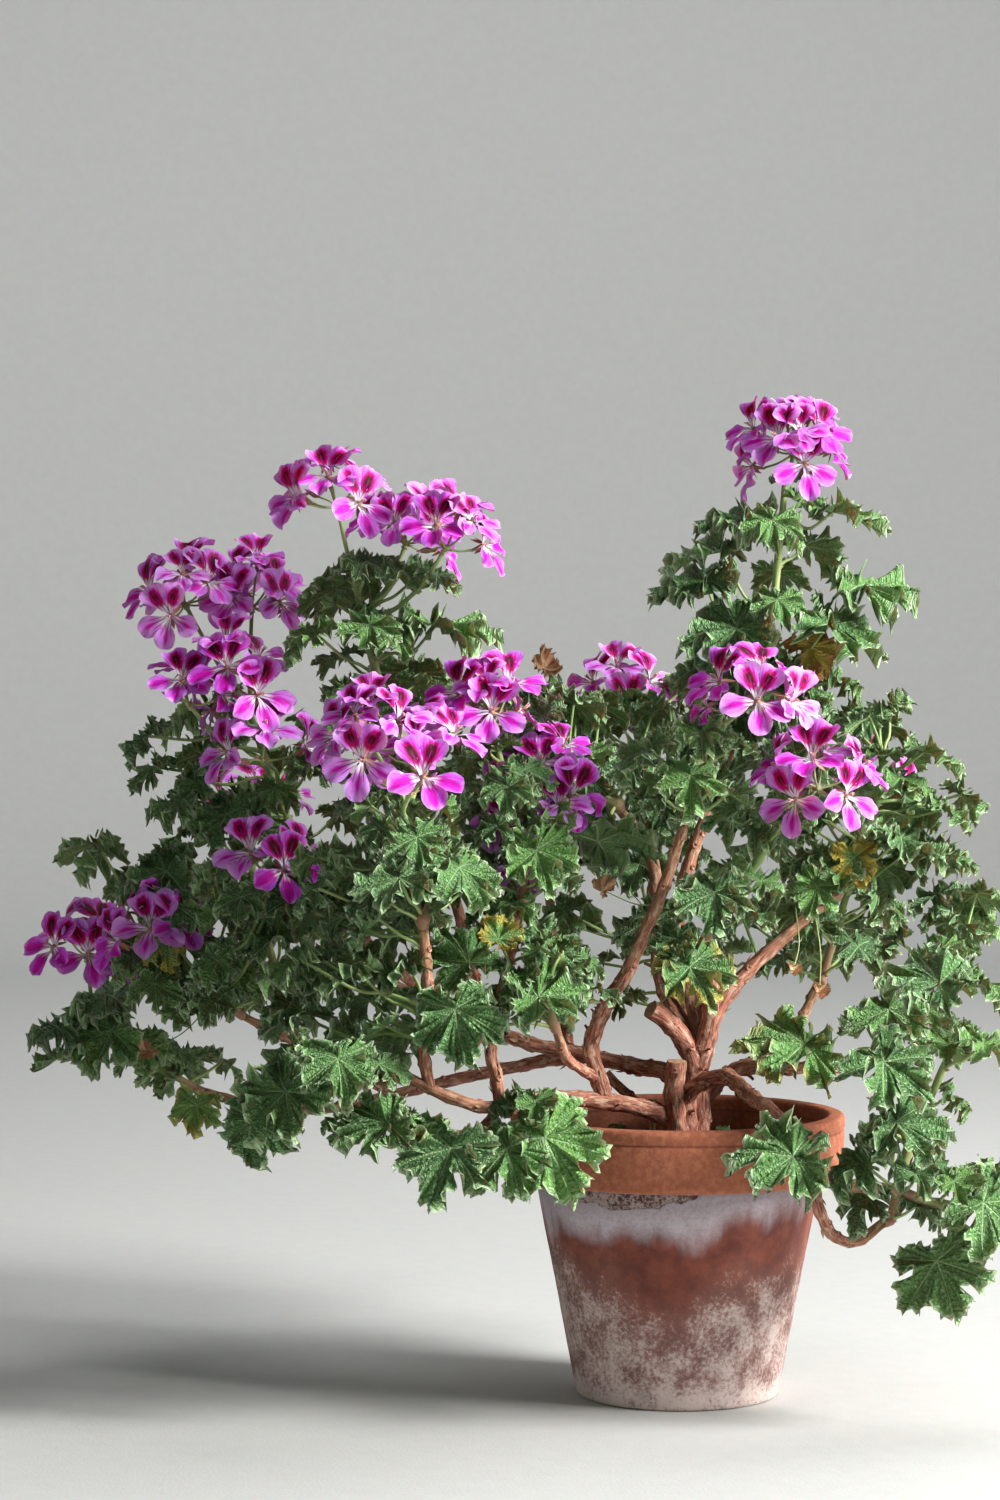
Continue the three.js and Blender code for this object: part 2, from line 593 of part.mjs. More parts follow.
// A thin star-shaped blade with a stalk growing from the middle of its underside, as one closed
// mesh. The frame's third axis is the way the blade faces and its second axis points to its tip.
function blade({ outline, size, thickness, frame, joint, bends, root, stalk }) {
  const place = (x, y, z) => new THREE.Vector3(x, y, z).applyMatrix4(frame).add(joint);
  const count = outline.length;
  const points = [joint.clone()];
  const rims = [[], []];
  for (const side of [0, 1]) {
    outline.forEach(([turn, reach, height, notch], i) => {
      if (side === 1 && notch) {
        rims[side].push(rims[0][i]);
        return;
      }
      const angle = radians(turn);
      const x = -Math.sin(angle) * reach * size;
      const y = Math.cos(angle) * reach * size;
      const drop = notch ? 0.5 : side;
      rims[side].push(points.length);
      points.push(place(x, y, height * size - drop * thickness));
    });
  }
  const top = (i) => rims[0][i % count];
  const under = (i) => rims[1][i % count];
  const right = new THREE.Vector3().setFromMatrixColumn(frame, 0);
  const face = new THREE.Vector3().setFromMatrixColumn(frame, 2);
  const centres = [place(0, 0, -thickness), ...bends, root];
  const ringStart = points.length;
  let across = right;
  centres.forEach((centre, level) => {
    const way = level === 0 ? face : centres[level - 1].clone().sub(centre).normalize();
    across = across.clone().addScaledVector(way, -across.dot(way)).normalize();
    const along = way.clone().cross(across);
    for (const turn of [60, 180, 300]) {
      const angle = radians(turn);
      const point = centre.clone();
      point.addScaledVector(across, -Math.sin(angle) * stalk);
      point.addScaledVector(along, Math.cos(angle) * stalk);
      points.push(point);
    }
  });
  const ring = (level, i) => ringStart + level * 3 + (i % 3);
  const nearest = (i) => {
    const next = outline[(i + 1) % count][0] + (i + 1 === count ? 360 : 0);
    return Math.floor((outline[i][0] + next) / 2 / 120) % 3;
  };
  const faces = [];
  for (let i = 0; i < count; i += 1) {
    const here = nearest(i);
    const before = nearest((i + count - 1) % count);
    faces.push([0, top(i), top(i + 1)]);
    faces.push([under(i + 1), under(i), ring(0, here)]);
    if (before !== here) {
      faces.push([under(i), ring(0, before), ring(0, here)]);
    }
    faces.push([top(i), under(i), under(i + 1)], [top(i), under(i + 1), top(i + 1)]);
  }
  const last = centres.length - 1;
  for (let level = 0; level < last; level += 1) {
    for (let i = 0; i < 3; i += 1) {
      faces.push([ring(level, i), ring(level + 1, i), ring(level + 1, i + 1)]);
      faces.push([ring(level, i), ring(level + 1, i + 1), ring(level, i + 1)]);
    }
  }
  faces.push([ring(last, 0), ring(last, 2), ring(last, 1)]);
  return solidFrom(points, faces.filter((corners) => new Set(corners).size === 3));
}

function frameFrom(face, tip) {
  const z = face.clone().normalize();
  const y = tip.clone().addScaledVector(z, -tip.dot(z)).normalize();
  const x = y.clone().cross(z);
  return new THREE.Matrix4().makeBasis(x, y, z);
}

// Where a petiole bends on its way to the blade, kept under the blade.
const BEND_PLACE = 0.4;
const BEND_DROP = 0.22;
function petioleBend(joint, root, face) {
  const span = root.clone().sub(joint);
  const bend = joint.clone().addScaledVector(span, BEND_PLACE);
  return bend.addScaledVector(face, -BEND_DROP * span.length());
}

function leafSolid(leaf, [swing, lift, shrink], extra, stub = false) {
  const turn = new THREE.Matrix4().makeRotationZ(swing);
  const arm = leaf.joint.clone().sub(leaf.root).applyMatrix4(turn);
  const joint = leaf.root.clone().add(arm);
  joint.z += lift;
  const face = leaf.face.clone().applyMatrix4(turn).normalize();
  const tip = leaf.tip.clone().applyMatrix4(turn);
  return blade({
    outline: LEAF_OUTLINE,
    size: leaf.size * shrink + extra,
    thickness: BLADE + 2 * extra,
    frame: frameFrom(face, tip),
    joint: joint.addScaledVector(face, extra),
    bends: stub || !leaf.curved ? [] : [petioleBend(joint, leaf.root, face)],
    root: stub ? joint.clone().addScaledVector(face, -STUB_LENGTH) : leaf.root,
    stalk: PETIOLE + extra,
  });
}

// How the rule sets a leaf: how often it looks for a free place, the part of the shoot that carries
// leaves, and the ranges that each leaf's turn, petiole, size, tilt and droop are drawn from. Leaves
// near the tip are smaller and have shorter petioles.
const LEAF_RULE = {
  tries: 8,
  first: 0.06,
  span: 0.9,
  step: [0.2, 0.8],
  turn: [-0.8, 0.8],
  petiole: [0.7, 1.3],
  petioleTaper: [1.15, 0.4],
  size: [0.82, 1.12],
  sizeTaper: [1.06, 0.26],
  tilt: [0.35, 1.1],
  droop: [0.15, 0.65],
  outward: 0.45,
  upward: 0.6,
  middle: 0.4,
  spacing: 0.85,
};
// No leaf is set over the pot below this height, or anywhere below the other.
const POT_CLEAR = { radius: 150, height: 215 };
const LOWEST_LEAF = 60;

// The leaves that the rule sets along a shoot, each where it is freest of eight places.
function ruledLeaves(name, shoot, taken) {
  const curve = shootCurve(shoot);
  const roll = dice(Math.round(shoot.turn * 1000) + 7);
  const draw = ([low, high]) => low + (high - low) * roll();
  const rule = LEAF_RULE;
  const up = new THREE.Vector3(0, 0, 1);
  const leaves = [];
  for (let i = 0; i < shoot.leaves; i += 1) {
    let best = null;
    for (let attempt = 0; attempt < rule.tries; attempt += 1) {
      const at = rule.first + rule.span * ((i + draw(rule.step)) / shoot.leaves);
      const azimuth = shoot.turn + GOLDEN_ANGLE * i + draw(rule.turn);
      const [longest, shorter] = rule.petioleTaper;
      const reach = shoot.petiole * draw(rule.petiole) * (longest - shorter * at);
      const [largest, smaller] = rule.sizeTaper;
      const size = shoot.size * draw(rule.size) * (largest - smaller * at);
      const tilt = draw(rule.tilt);
      const droop = draw(rule.droop);
      const root = curve.getPoint(at);
      const out = new THREE.Vector3(Math.cos(azimuth), Math.sin(azimuth), 0);
      const away = new THREE.Vector3(root.x, root.y, 0).normalize();
      out.addScaledVector(away, rule.outward).normalize();
      const way = out.clone().addScaledVector(up, rule.upward).normalize();
      const joint = root.clone().addScaledVector(way, reach);
      const face = out.clone().multiplyScalar(tilt).add(up).normalize();
      const tip = out.clone().addScaledVector(up, -droop);
      const centre = joint.clone().addScaledVector(out, size * rule.middle);
      let room = Infinity;
      for (const other of taken) {
        const near = rule.spacing * (size + other.size);
        room = Math.min(room, centre.distanceTo(other.centre) / near);
      }
      const aside = Math.hypot(centre.x, centre.y);
      const overPot = aside < POT_CLEAR.radius && centre.z < POT_CLEAR.height;
      if (overPot || centre.z < LOWEST_LEAF) {
        room -= 2;
      }
      if (!best || room > best.room) {
        best = { room, root, joint, face, tip, size, centre, on: name };
      }
      if (room > 1) {
        break;
      }
    }
    taken.push(best);
    leaves.push(best);
  }
  return leaves;
}

function largeLeaf({ on, at, joint, face, aim, size }) {
  const root = shootCurve(SHOOTS[on]).getPoint(at);
  const tip = new THREE.Vector3(Math.cos(radians(aim)), 0, Math.sin(radians(aim)));
  const facing = vector(face).normalize();
  const frame = frameFrom(facing, tip);
  const along = new THREE.Vector3().setFromMatrixColumn(frame, 1);
  const centre = vector(joint).addScaledVector(along, size * LEAF_RULE.middle);
  return { root, joint: vector(joint), face: facing, tip, size, centre, on, curved: true };
}

// The way of each flower of a head from the head's middle, spread over a dome that is wider for
// more flowers.
function flowerWays(axis, flowers, spin) {
  const spread = Math.min(1.72, 0.5 + 0.26 * flowers);
  const upright = Math.abs(axis.z) < 0.95 ? new THREE.Vector3(0, 0, 1) : new THREE.Vector3(0, 1, 0);
  const side = axis.clone().cross(upright).normalize();
  const front = axis.clone().cross(side);
  return Array.from({ length: flowers }, (_, k) => {
    const lean = Math.acos(1 - (1 - Math.cos(spread)) * ((k + 0.5) / flowers));
    const turn = spin + GOLDEN_ANGLE * k;
    const way = axis.clone().multiplyScalar(Math.cos(lean));
    way.addScaledVector(side, Math.sin(lean) * Math.cos(turn));
    return way.addScaledVector(front, Math.sin(lean) * Math.sin(turn));
  });
}

function flowerSolid(hub, way, [swing, lift, reach], extra, stub = false) {
  const axis = new THREE.Vector3(0, 0, 1);
  const aimed = way.clone().applyAxisAngle(axis, swing);
  aimed.z += lift;
  aimed.normalize();
  const joint = hub.clone().addScaledVector(aimed, FLOWER_STALK * reach);
  const tip = new THREE.Vector3(-aimed.x * 0.4, -aimed.y * 0.4, 1);
  return blade({
    outline: FLOWER_OUTLINE,
    size: FLOWER_REACH + extra,
    thickness: PETAL + 2 * extra,
    frame: frameFrom(aimed, tip),
    joint: joint.clone().addScaledVector(aimed, extra),
    bends: [],
    root: stub ? hub.clone().lerp(joint, 0.8) : hub,
    stalk: PEDICEL + extra,
  });
}

// ---------------------------------------------------------------- putting the plant together

// Ways to bend a leaf or a flower aside: a turn about the upright, a lift, and a share of its
// size or of its stalk's length.
const SWINGS = [0, 0.15, -0.15, 0.3, -0.3, 0.5, -0.5, 0.75, -0.75];
const LEAF_BENDS = SWINGS.flatMap((swing, step) => (
  [0, 9, -9].map((lift) => [swing, lift, 1 - 0.025 * step])
));
const FLOWER_BENDS = [0, 0.2, -0.2, 0.4, -0.4].flatMap((swing) => (
  [0, 0.2, -0.2].flatMap((lift) => [1, 1.2, 0.85, 1.35].map((reach) => [swing, lift, reach]))
));

// Adds a blade to its node, bent clear of the other nodes and, where it can be, of its own.
function addClear(node, bends, make, blocks, own) {
  let fit = null;
  for (const bend of bends) {
    const padded = make(bend, SAFE);
    const tip = make(bend, SAFE, true);
    const clear = !blocks.some((block) => overlaps(padded, block));
    const loose = clear && !own.some((other) => (
      overlaps(tip, other.whole) || overlaps(padded, other.tip)
    ));
    padded.delete();
    tip.delete();
    if (clear && !fit) {
      fit = bend;
    }
    if (loose) {
      fit = bend;
      break;
    }
  }
  if (!fit) {
    return node;
  }
  const whole = make(fit, 0);
  own.push({ whole, tip: make(fit, 0, true) });
  return node.add(whole);
}

function growPlant() {
  const fixed = { pot: buildPot(), soil: buildSoil(), woody_stems: buildWood() };
  const green = {};
  const heads = {};
  const others = (mine) => Object.entries({ ...fixed, ...green, ...heads })
    .filter(([name]) => name !== mine)
    .map(([, solid]) => solid);

  for (const [name, shoot] of Object.entries(SHOOTS)) {
    const curve = shootCurve(shoot);
    const stalks = Object.values(BLOOMS).filter(({ on }) => on === name).map((bloom) => (
      stem(stalkCurve(bloom), STALK_START, STALK_END, STALK_SIDES, bloom.route.length + 1)
    ));
    const axis = stem(curve, WOOD[shoot.from].end, SHOOT_END, SHOOT_SIDES, shoot.route.length + 1);
    green[`shoot_${name}`] = join([axis, ...stalks]);
  }

  Object.entries(BLOOMS).forEach(([name, bloom], order) => {
    const key = `bloom_${name}`;
    const curve = stalkCurve(bloom);
    const axis = curve.getTangent(1);
    const hub = curve.getPoint(1).addScaledVector(axis, HUB + GAP);
    const lift = axis.clone().add(new THREE.Vector3(0, -0.15, 0.5)).normalize();
    const own = [];
    heads[key] = hubSolid(hub);
    for (const way of flowerWays(lift, bloom.flowers, order * 1.3)) {
      const make = (bend, extra, stub) => flowerSolid(hub, way, bend, extra, stub);
      heads[key] = addClear(heads[key], FLOWER_BENDS, make, others(key), own);
    }
  });

  const taken = [];
  for (const bloom of Object.values(BLOOMS)) {
    const centre = stalkCurve(bloom).getPoint(1).add(new THREE.Vector3(0, 0, HEAD_MIDDLE));
    taken.push({ centre, size: HEAD_ROOM });
  }
  const leaves = LARGE_LEAVES.map(largeLeaf);
  taken.push(...leaves);
  for (const [name, shoot] of Object.entries(SHOOTS)) {
    leaves.push(...ruledLeaves(name, shoot, taken));
  }
  const ownLeaves = Object.fromEntries(Object.keys(SHOOTS).map((name) => [name, []]));
  for (const leaf of leaves) {
    const key = `shoot_${leaf.on}`;
    const make = (bend, extra, stub) => leafSolid(leaf, bend, extra, stub);
    green[key] = addClear(green[key], LEAF_BENDS, make, others(key), ownLeaves[leaf.on]);
  }
  return { fixed, green, heads };
}

// The small knob that the flower stalks of a head grow from.
function hubSolid(centre) {
  const corners = [[1, 0, 0], [0, 1, 0], [-1, 0, 0], [0, -1, 0], [0, 0, 1], [0, 0, -1]];
  const points = corners.map((corner) => vector(corner).multiplyScalar(HUB).add(centre));
  const faces = [0, 1, 2, 3].flatMap((i) => [[i, (i + 1) % 4, 4], [(i + 1) % 4, i, 5]]);
  return solidFrom(points, faces);
}

const plant = growPlant();
const geranium = new THREE.Group();
geranium.add(
  meshFrom('pot', plant.fixed.pot, TERRACOTTA),
  meshFrom('soil', plant.fixed.soil, SOIL),
  meshFrom('woody_stems', plant.fixed.woody_stems, BARK),
);
for (const [name, solid] of Object.entries(plant.green)) {
  geranium.add(meshFrom(name, solid, LEAF));
}
for (const [name, solid] of Object.entries(plant.heads)) {
  geranium.add(meshFrom(name, solid, PETALS));
}

export default geranium;
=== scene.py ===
"""Potted regal geranium: an old woody plant with two-tone flowers in a weathered clay pot.

The plan of stems, leaves and flower heads is given in millimetres, and the meshes are in metres.
+Z is up, and the origin is at the middle of the pot's foot. The camera looks along +Y.
"""

import json
import logging
import math
import random
from dataclasses import dataclass
from enum import Enum
from typing import Callable, Iterable, Iterator, Sequence

import bpy
import numpy as np
from mathutils import Matrix, Vector, noise

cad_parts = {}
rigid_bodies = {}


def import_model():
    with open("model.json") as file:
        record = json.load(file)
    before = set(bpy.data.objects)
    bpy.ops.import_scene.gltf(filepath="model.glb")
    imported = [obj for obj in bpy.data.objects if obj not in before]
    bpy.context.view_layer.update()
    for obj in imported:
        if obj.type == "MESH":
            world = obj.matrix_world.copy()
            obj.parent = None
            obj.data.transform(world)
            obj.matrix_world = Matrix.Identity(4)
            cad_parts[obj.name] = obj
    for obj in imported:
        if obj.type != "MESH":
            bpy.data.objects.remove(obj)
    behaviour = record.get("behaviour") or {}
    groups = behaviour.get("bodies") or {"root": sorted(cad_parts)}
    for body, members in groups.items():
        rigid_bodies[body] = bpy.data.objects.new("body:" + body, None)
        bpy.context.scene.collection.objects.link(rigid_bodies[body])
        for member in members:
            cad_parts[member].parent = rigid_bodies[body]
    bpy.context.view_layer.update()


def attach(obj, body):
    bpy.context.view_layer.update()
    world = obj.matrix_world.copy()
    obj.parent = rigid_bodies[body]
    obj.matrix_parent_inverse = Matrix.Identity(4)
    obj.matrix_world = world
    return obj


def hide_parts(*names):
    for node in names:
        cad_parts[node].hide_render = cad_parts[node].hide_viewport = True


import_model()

LOG = logging.getLogger("geranium")
MM = 0.001
BODY = "root"
GOLDEN_ANGLE = 2.399963
FULL_TURN = 2 * math.pi

Array = np.ndarray
Point = Sequence[float]
Points = tuple[Point, ...]
Colour = tuple[float, float, float]
Material = bpy.types.Material
Socket = bpy.types.NodeSocket
UP = np.array([0.0, 0.0, 1.0])


class Part(Enum):
    """What a face belongs to, which settles its finish."""

    LEAF_TOP = 0
    LEAF_UNDER = 1
    STEM = 2
    BRACT = 3
    PETAL = 4
    PETAL_BACK = 5
    STAMEN = 6
    DRY = 7
    BARK = 8
    CUT = 9


class Kind(Enum):
    """The small shapes that repeat, each with its first number and how many forms it has."""

    LEAF = (0, 7)
    SMALL_LEAF = (7, 8)
    YOUNG_LEAF = (15, 3)
    CALYX = (18, 1)
    BUD = (19, 2)
    BRACT = (21, 1)
    STIPULE = (22, 1)
    DRY_LEAF = (23, 2)
    FLOWER = (25, 8)
    SCAR = (33, 1)
    FLAKE = (34, 2)
    STUB = (36, 1)

    def form(self, roll: random.Random) -> int:
        """Return the number of one of this kind's forms, drawn with roll."""
        first, count = self.value
        return first + roll.randrange(count)


# ---- the plant's plan, in millimetres


@dataclass(frozen=True)
class Wood:
    """A woody stem: its route, and its radius at the start and at the end."""

    route: Points
    start: float
    end: float


@dataclass(frozen=True)
class ShootPlan:
    """A green shoot: its route, the woody stem it grows from, and the rule for its leaves."""

    route: Points
    grows_from: str
    leaves: int
    size: float
    petiole: float
    turn: float


@dataclass(frozen=True)
class LeafPlan:
    """A listed leaf: its joint and facing, its place on a shoot, and its looks."""

    points: Points
    on: str
    at: float
    aim: float
    size: float
    age: float = 0.6
    wither: float = 0.0


@dataclass(frozen=True)
class LeafCluster:
    """Leaves that fill a space: its centre and spread, and their shoot, number and size."""

    points: Points
    on: str
    count: int
    size: float


@dataclass(frozen=True)
class DryBit:
    """A dried leaf: the start and end of its thread, its shoot and its size."""

    points: Points
    on: str
    size: float


@dataclass(frozen=True)
class BloomPlan:
    """A flower head: its stalk's route, its place on a shoot, and its number of flowers."""

    route: Points
    on: str
    at: float
    flowers: int


def rows(kind: type, text: str) -> list:
    """Return a plan from each row of a table.

    Args:
        kind: the plan's class, whose first field holds the points.
        text: the other values; points parted by commas. An indented line belongs to its row.

    Returns:
        The plans.
    """
    plans = []
    for row in text.strip().replace("\n    ", " ").splitlines():
        values, points = row.split(";")
        words = [word if word[0].isalpha() else json.loads(word) for word in values.split()]
        plans.append(kind([[float(number) for number in point.split()] for point in points.split(",")],
                          *words))
    return plans


def named(kind: type, text: str) -> dict:
    """Return the plans of a table by the name that each row starts with."""
    texts = [row.split(" ", 1) for row in text.strip().replace("\n    ", " ").splitlines()]
    return {name: rows(kind, rest)[0] for name, rest in texts}


# Name, radius at the start and at the end; the route.
WOOD = named(Wood, """
trunk 10 6; 11 4 148, 14 10 178, 14 14 198, 11 14 219, 2 8 235, -8 2 246, -18 -4 253
upright_right 6.5 3.4; 14 14 205, 17 24 230, 12 34 256, 3 44 285, 2 50 312, 10 56 345, 23 62 379, 37 66
    410
upright_left 6 3.2; 13 14 215, 6 30 236, -6 44 259, -11 52 285, -12 54 312, -13 52 342, -23 44 366, -36
    36 382
stub 5.5 4.6; 15 14 218, 22 4 255, 20 -2 292
rise_right 6 3.2; 15 12 212, 25 14 246, 36 18 263, 50 24 278, 68 30 294, 86 38 309, 104 46 322
spur_diagonal 4 3.4; 22 5 252, 14 -14 270, 8 -24 283
arch_front 6 3.2; 8 0 160, 7 -16 199, 27 -34 212, 36 -50 209, 45 -76 202, 53 -100 199, 62 -126 188, 76
    -140 166, 100 -134 155, 123 -126 152
loop_front 3.8 3; 76 -140 166, 80 -140 144, 90 -132 124, 106 -120 118, 123 -112 128
low_left 6.5 3; 4 -2 160, -8 -14 182, -26 -28 191, -49 -42 197, -79 -60 201, -104 -82 201, -126 -96 199,
    -145 -102 205, -161 -106 212, -177 -110 220, -196 -114 218
spur_rim 3.6 3; -75 -58 200, -84 -82 198, -89 -98 196
spur_low 3.6 2.6; -117 -90 200, -127 -106 188, -142 -116 184, -162 -124 185, -177 -128 182
upright_front 5.5 3; -49 -42 197, -55 -46 218, -58 -48 234, -48 -52 262, -37 -54 278, -23 -58 310, -12
    -60 336, 1 -62 376
knee_left 4 3; -117 -90 200, -119 -90 216, -123 -88 234, -118 -82 260, -111 -74 291, -104 -64 322
knee_front 3.8 3; -54 -45 212, -66 -60 220, -75 -72 229, -81 -82 246
riser_front 3.8 3; -161 -106 212, -165 -112 237, -162 -114 275, -165 -112 312
back_left 6 3.2; 11 12 190, -5 32 207, -23 44 210, -43 54 213, -70 64 218, -97 72 223, -124 78 232, -158
    82 245, -189 84 262, -218 82 283
riser_left 4.4 3.2; -124 78 232, -135 64 270, -147 50 322, -161 40 366
spur_left 3.6 2.8; -158 82 245, -183 58 271, -206 34 296
low_back 4.6 2.6; -56 60 215, -86 84 210, -144 104 196, -191 118 183, -245 132 171, -291 142 174, -323
    146 182
spur_outer 3.4 2.6; -191 118 183, -224 112 203, -261 98 223, -291 84 240
spur_outer_back 3.2 2.6; -245 132 171, -257 150 197, -266 164 231
riser_back 4.4 3.2; -70 64 218, -74 104 243, -78 134 282, -83 150 323
stump 7 6.2; 2 -8 148, -3 -20 196, -2 -24 221
inner_stub 4 3.4; 11 12 176, -17 34 181, -34 42 194, -46 46 205
back_right 5.2 3.2; 13 12 194, 43 36 209, 78 50 208, 98 56 210, 116 58 208, 137 54 219
rise_back 5.4 3.4; 13 12 196, 16 56 227, 1 96 258, -12 124 297, -10 138 334
low_back_right 5.2 3.2; 13 10 186, 37 66 203, 65 118 209, 90 152 225, 108 172 255
""")

# Name, the stem it grows from, leaves, leaf size, petiole and first turn; the route.
SHOOTS = named(ShootPlan, """
top_right upright_right 3 38 44 1.4; 51 70 456, 66 68 510, 72 64 564, 75 60 601
centre upright_front 3 32 34 0.5; 5 -64 398, 12 -66 418, 16 -68 432
diagonal spur_diagonal 3 34 38 2.2; 21 -30 307, 37 -34 331, 59 -36 367, 72 -36 392
right rise_right 6 38 52 0.1; 120 52 350, 135 54 385, 141 52 416
right_back low_back_right 5 38 50 0.9; 123 186 296, 136 190 342, 140 184 385
right_low back_right 4 34 40 1.7; 157 48 235, 176 40 259, 191 32 286
front_right loop_front 3 34 36 0.3; 134 -108 155, 145 -106 186, 159 -102 217, 172 -98 246
trail_right arch_front 2 36 38 2.9; 147 -118 144, 173 -108 139, 199 -98 144, 222 -90 158
back rise_back 6 38 52 1.1; -12 146 379, -19 150 421, -25 150 453
centre_left upright_left 4 34 42 2; -48 30 392, -60 24 402, -71 20 409
knee knee_left 4 34 40 0.8; -102 -56 350, -107 -50 379, -114 -44 406, -118 -42 423
front_low knee_front 1 32 34 2.6; -82 -90 262, -79 -96 282, -79 -98 299
front_left riser_front 6 38 46 1.9; -167 -108 336, -171 -104 362, -174 -100 384
left_tall riser_left 7 38 50 0.2; -176 34 410, -193 30 456, -205 28 496, -213 28 532
left_mid spur_left 5 36 46 1.3; -230 18 314, -249 8 324, -264 2 326
left back_left 7 38 52 2.4; -240 84 320, -259 82 368, -275 76 412, -286 70 446
left_outer spur_outer 4 36 46 0.7; -312 70 253, -333 58 264, -343 52 271
left_back spur_outer_back 6 38 50 1.6; -278 178 272, -290 184 321, -297 182 364
left_trail low_back 2 34 34 2.1; -342 142 192, -367 134 206, -390 126 218
low_left low_left 4 36 40 1; -212 -118 214, -232 -120 213, -250 -122 217
rim_left spur_low 1 32 32 2.7; -189 -134 182, -202 -138 187
rim_front spur_rim 0 34 30 0; -94 -106 196, -100 -112 198
back_left_tall riser_back 7 38 52 0.4; -89 162 365, -100 168 410, -111 168 453
""")

# Shoot, place on it, the tip's turn, size, age and wither; the joint and the facing.
LARGE_LEAVES = rows(LeafPlan, """
knee 0.15 110 34; -137 -96 291, 0.1 -0.75 0.65
front_low 0.95 12 40; -93 -120 271, 0 -0.6 0.8
front_low 0.1 -80 40; -145 -128 264, -0.1 -0.9 0.4
diagonal 0.12 -75 36 0.6 0.2; 5 -58 285, 0 -0.7 0.7
trail_right 0.05 172 44; 63 -158 176, 0.1 -0.6 0.8
rim_front 0.7 -68 44 0.35 0.12; -89 -128 184, 0.1 -0.9 0.4
rim_front 1 -120 34; -113 -136 178, -0.1 -0.8 0.6
rim_left 0.2 -105 42; -147 -150 180, -0.1 -0.85 0.5
rim_left 0.9 200 36; -186 -152 195, -0.2 -0.6 0.8
low_left 0.9 -120 42; -249 -150 215, -0.3 -0.7 0.6
front_right 0.55 -55 42; 121 -136 232, 0.1 -0.7 0.7
front_right 0.3 -10 36; 128 -146 196, 0.1 -0.6 0.8
front_right 1 150 42; 158 -118 279, 0 -0.5 0.85
right_low 0.1 182 46 0.6 0.18; 85 10 229, 0.1 -0.45 0.9
trail_right 0.5 -70 38; 156 -122 106, -0.2 -0.9 0.3
trail_right 0.8 -50 38; 183 -138 145, 0.2 -0.8 0.5
knee 0.35 -80 34 0.2; -94 -84 361, 0 -0.8 0.6
centre_left 0.2 58 48; -53 -16 364, 0 0.5 0.85
centre 0.4 -92 30 0.15; 3 -100 409, 0 -0.8 0.6
top_right 0.86 180 40; 49 58 580, -0.15 -0.15 1
top_right 0.6 178 44; 32 50 556, -0.2 -0.1 1
top_right 0.45 190 44; 21 60 537, -0.2 -0.3 0.95
top_right 0.84 -8 42; 107 60 583, 0.2 -0.1 1
top_right 0.5 -4 46; 125 66 533, 0.1 -0.3 0.95
top_right 0.35 -35 46; 103 44 507, 0.3 -0.5 0.8
top_right 0.25 200 46; 41 34 504, -0.1 -0.6 0.8
top_right 0.75 -95 30 0.3; 63 14 575, 0 -0.6 0.8
left_tall 0.72 4 50; -160 28 506, 0.1 -0.05 1
left_trail 0.9 185 42; -384 110 252, -0.3 -0.3 0.9
left_trail 0.55 200 40; -384 104 229, -0.3 -0.6 0.7
left_outer 1 190 42; -342 60 340, -0.3 -0.5 0.8
""")

# Leaves past the ones in the rule: turning yellow, or young and pale.
ODD_LEAVES = rows(LeafPlan, """
top_right 0.2 -60 27 0.1 0.62; 92 52 492, 0.3 -0.8 0.35
right 0.5 -80 24 0.05 0.42; 118 20 352, 0.1 -0.9 0.3
right 0.3 -110 26 0 0.12; 93 14 333, -0.1 -0.85 0.4
front_low 0.4 70 22 0.2 0.3; -118 -104 306, 0.1 -0.8 0.5
left_trail 0.2 -95 28 0.1 0.22; -325 100 178, -0.1 -0.8 0.5
low_left 0.9 -88 34; -270 -128 196, -0.3 -0.9 0.2
left_outer 0.5 -130 26 0.2 0.3; -338 20 300, -0.3 -0.8 0.4
""")

# Shoot, number of leaves and their size; the centre and the spread.
CLUSTERS = rows(LeafCluster, """
left 12 32; -335 80 405, 30 45 52
left_outer 6 30; -362 96 345, 38 30 14
left_tall 7 27; -180 26 530, 34 34 22
left_mid 12 31; -272 -18 292, 48 46 38
front_left 11 31; -208 -66 264, 50 46 32
left_outer 9 31; -320 34 288, 34 36 34
left_trail 3 28; -416 112 232, 16 20 28
front_left 10 31; -205 -86 335, 50 40 40
knee 9 31; -120 -60 330, 45 40 50
back 8 31; -46 96 300, 46 36 50
right 5 28; 48 74 305, 40 34 24
right 5 33; 188 62 368, 20 30 24
right_low 5 31; 186 60 316, 26 30 14
right 4 30; 134 78 446, 28 22 10
centre_left 8 32; -60 40 440, 50 40 24
top_right 8 33; 88 70 470, 40 34 30
diagonal 7 31; 70 -20 400, 36 34 34
back 8 33; 30 130 420, 50 36 40
""")

# Shoot and size; where the thread starts and ends.
DRY_BITS = rows(DryBit, """
back_left_tall 20; -111 165 450, -86 160 478
centre 15; -17 -59 325, -50 -34 333
right 9; 80 30 318, 77 8 279
right 11; 92 38 322, 94 6 265
low_left 13; -212 -118 214, -262 -120 196
left_outer 13; -312 70 253, -352 30 222
knee 12; -104 -64 322, -88 -90 305
""")

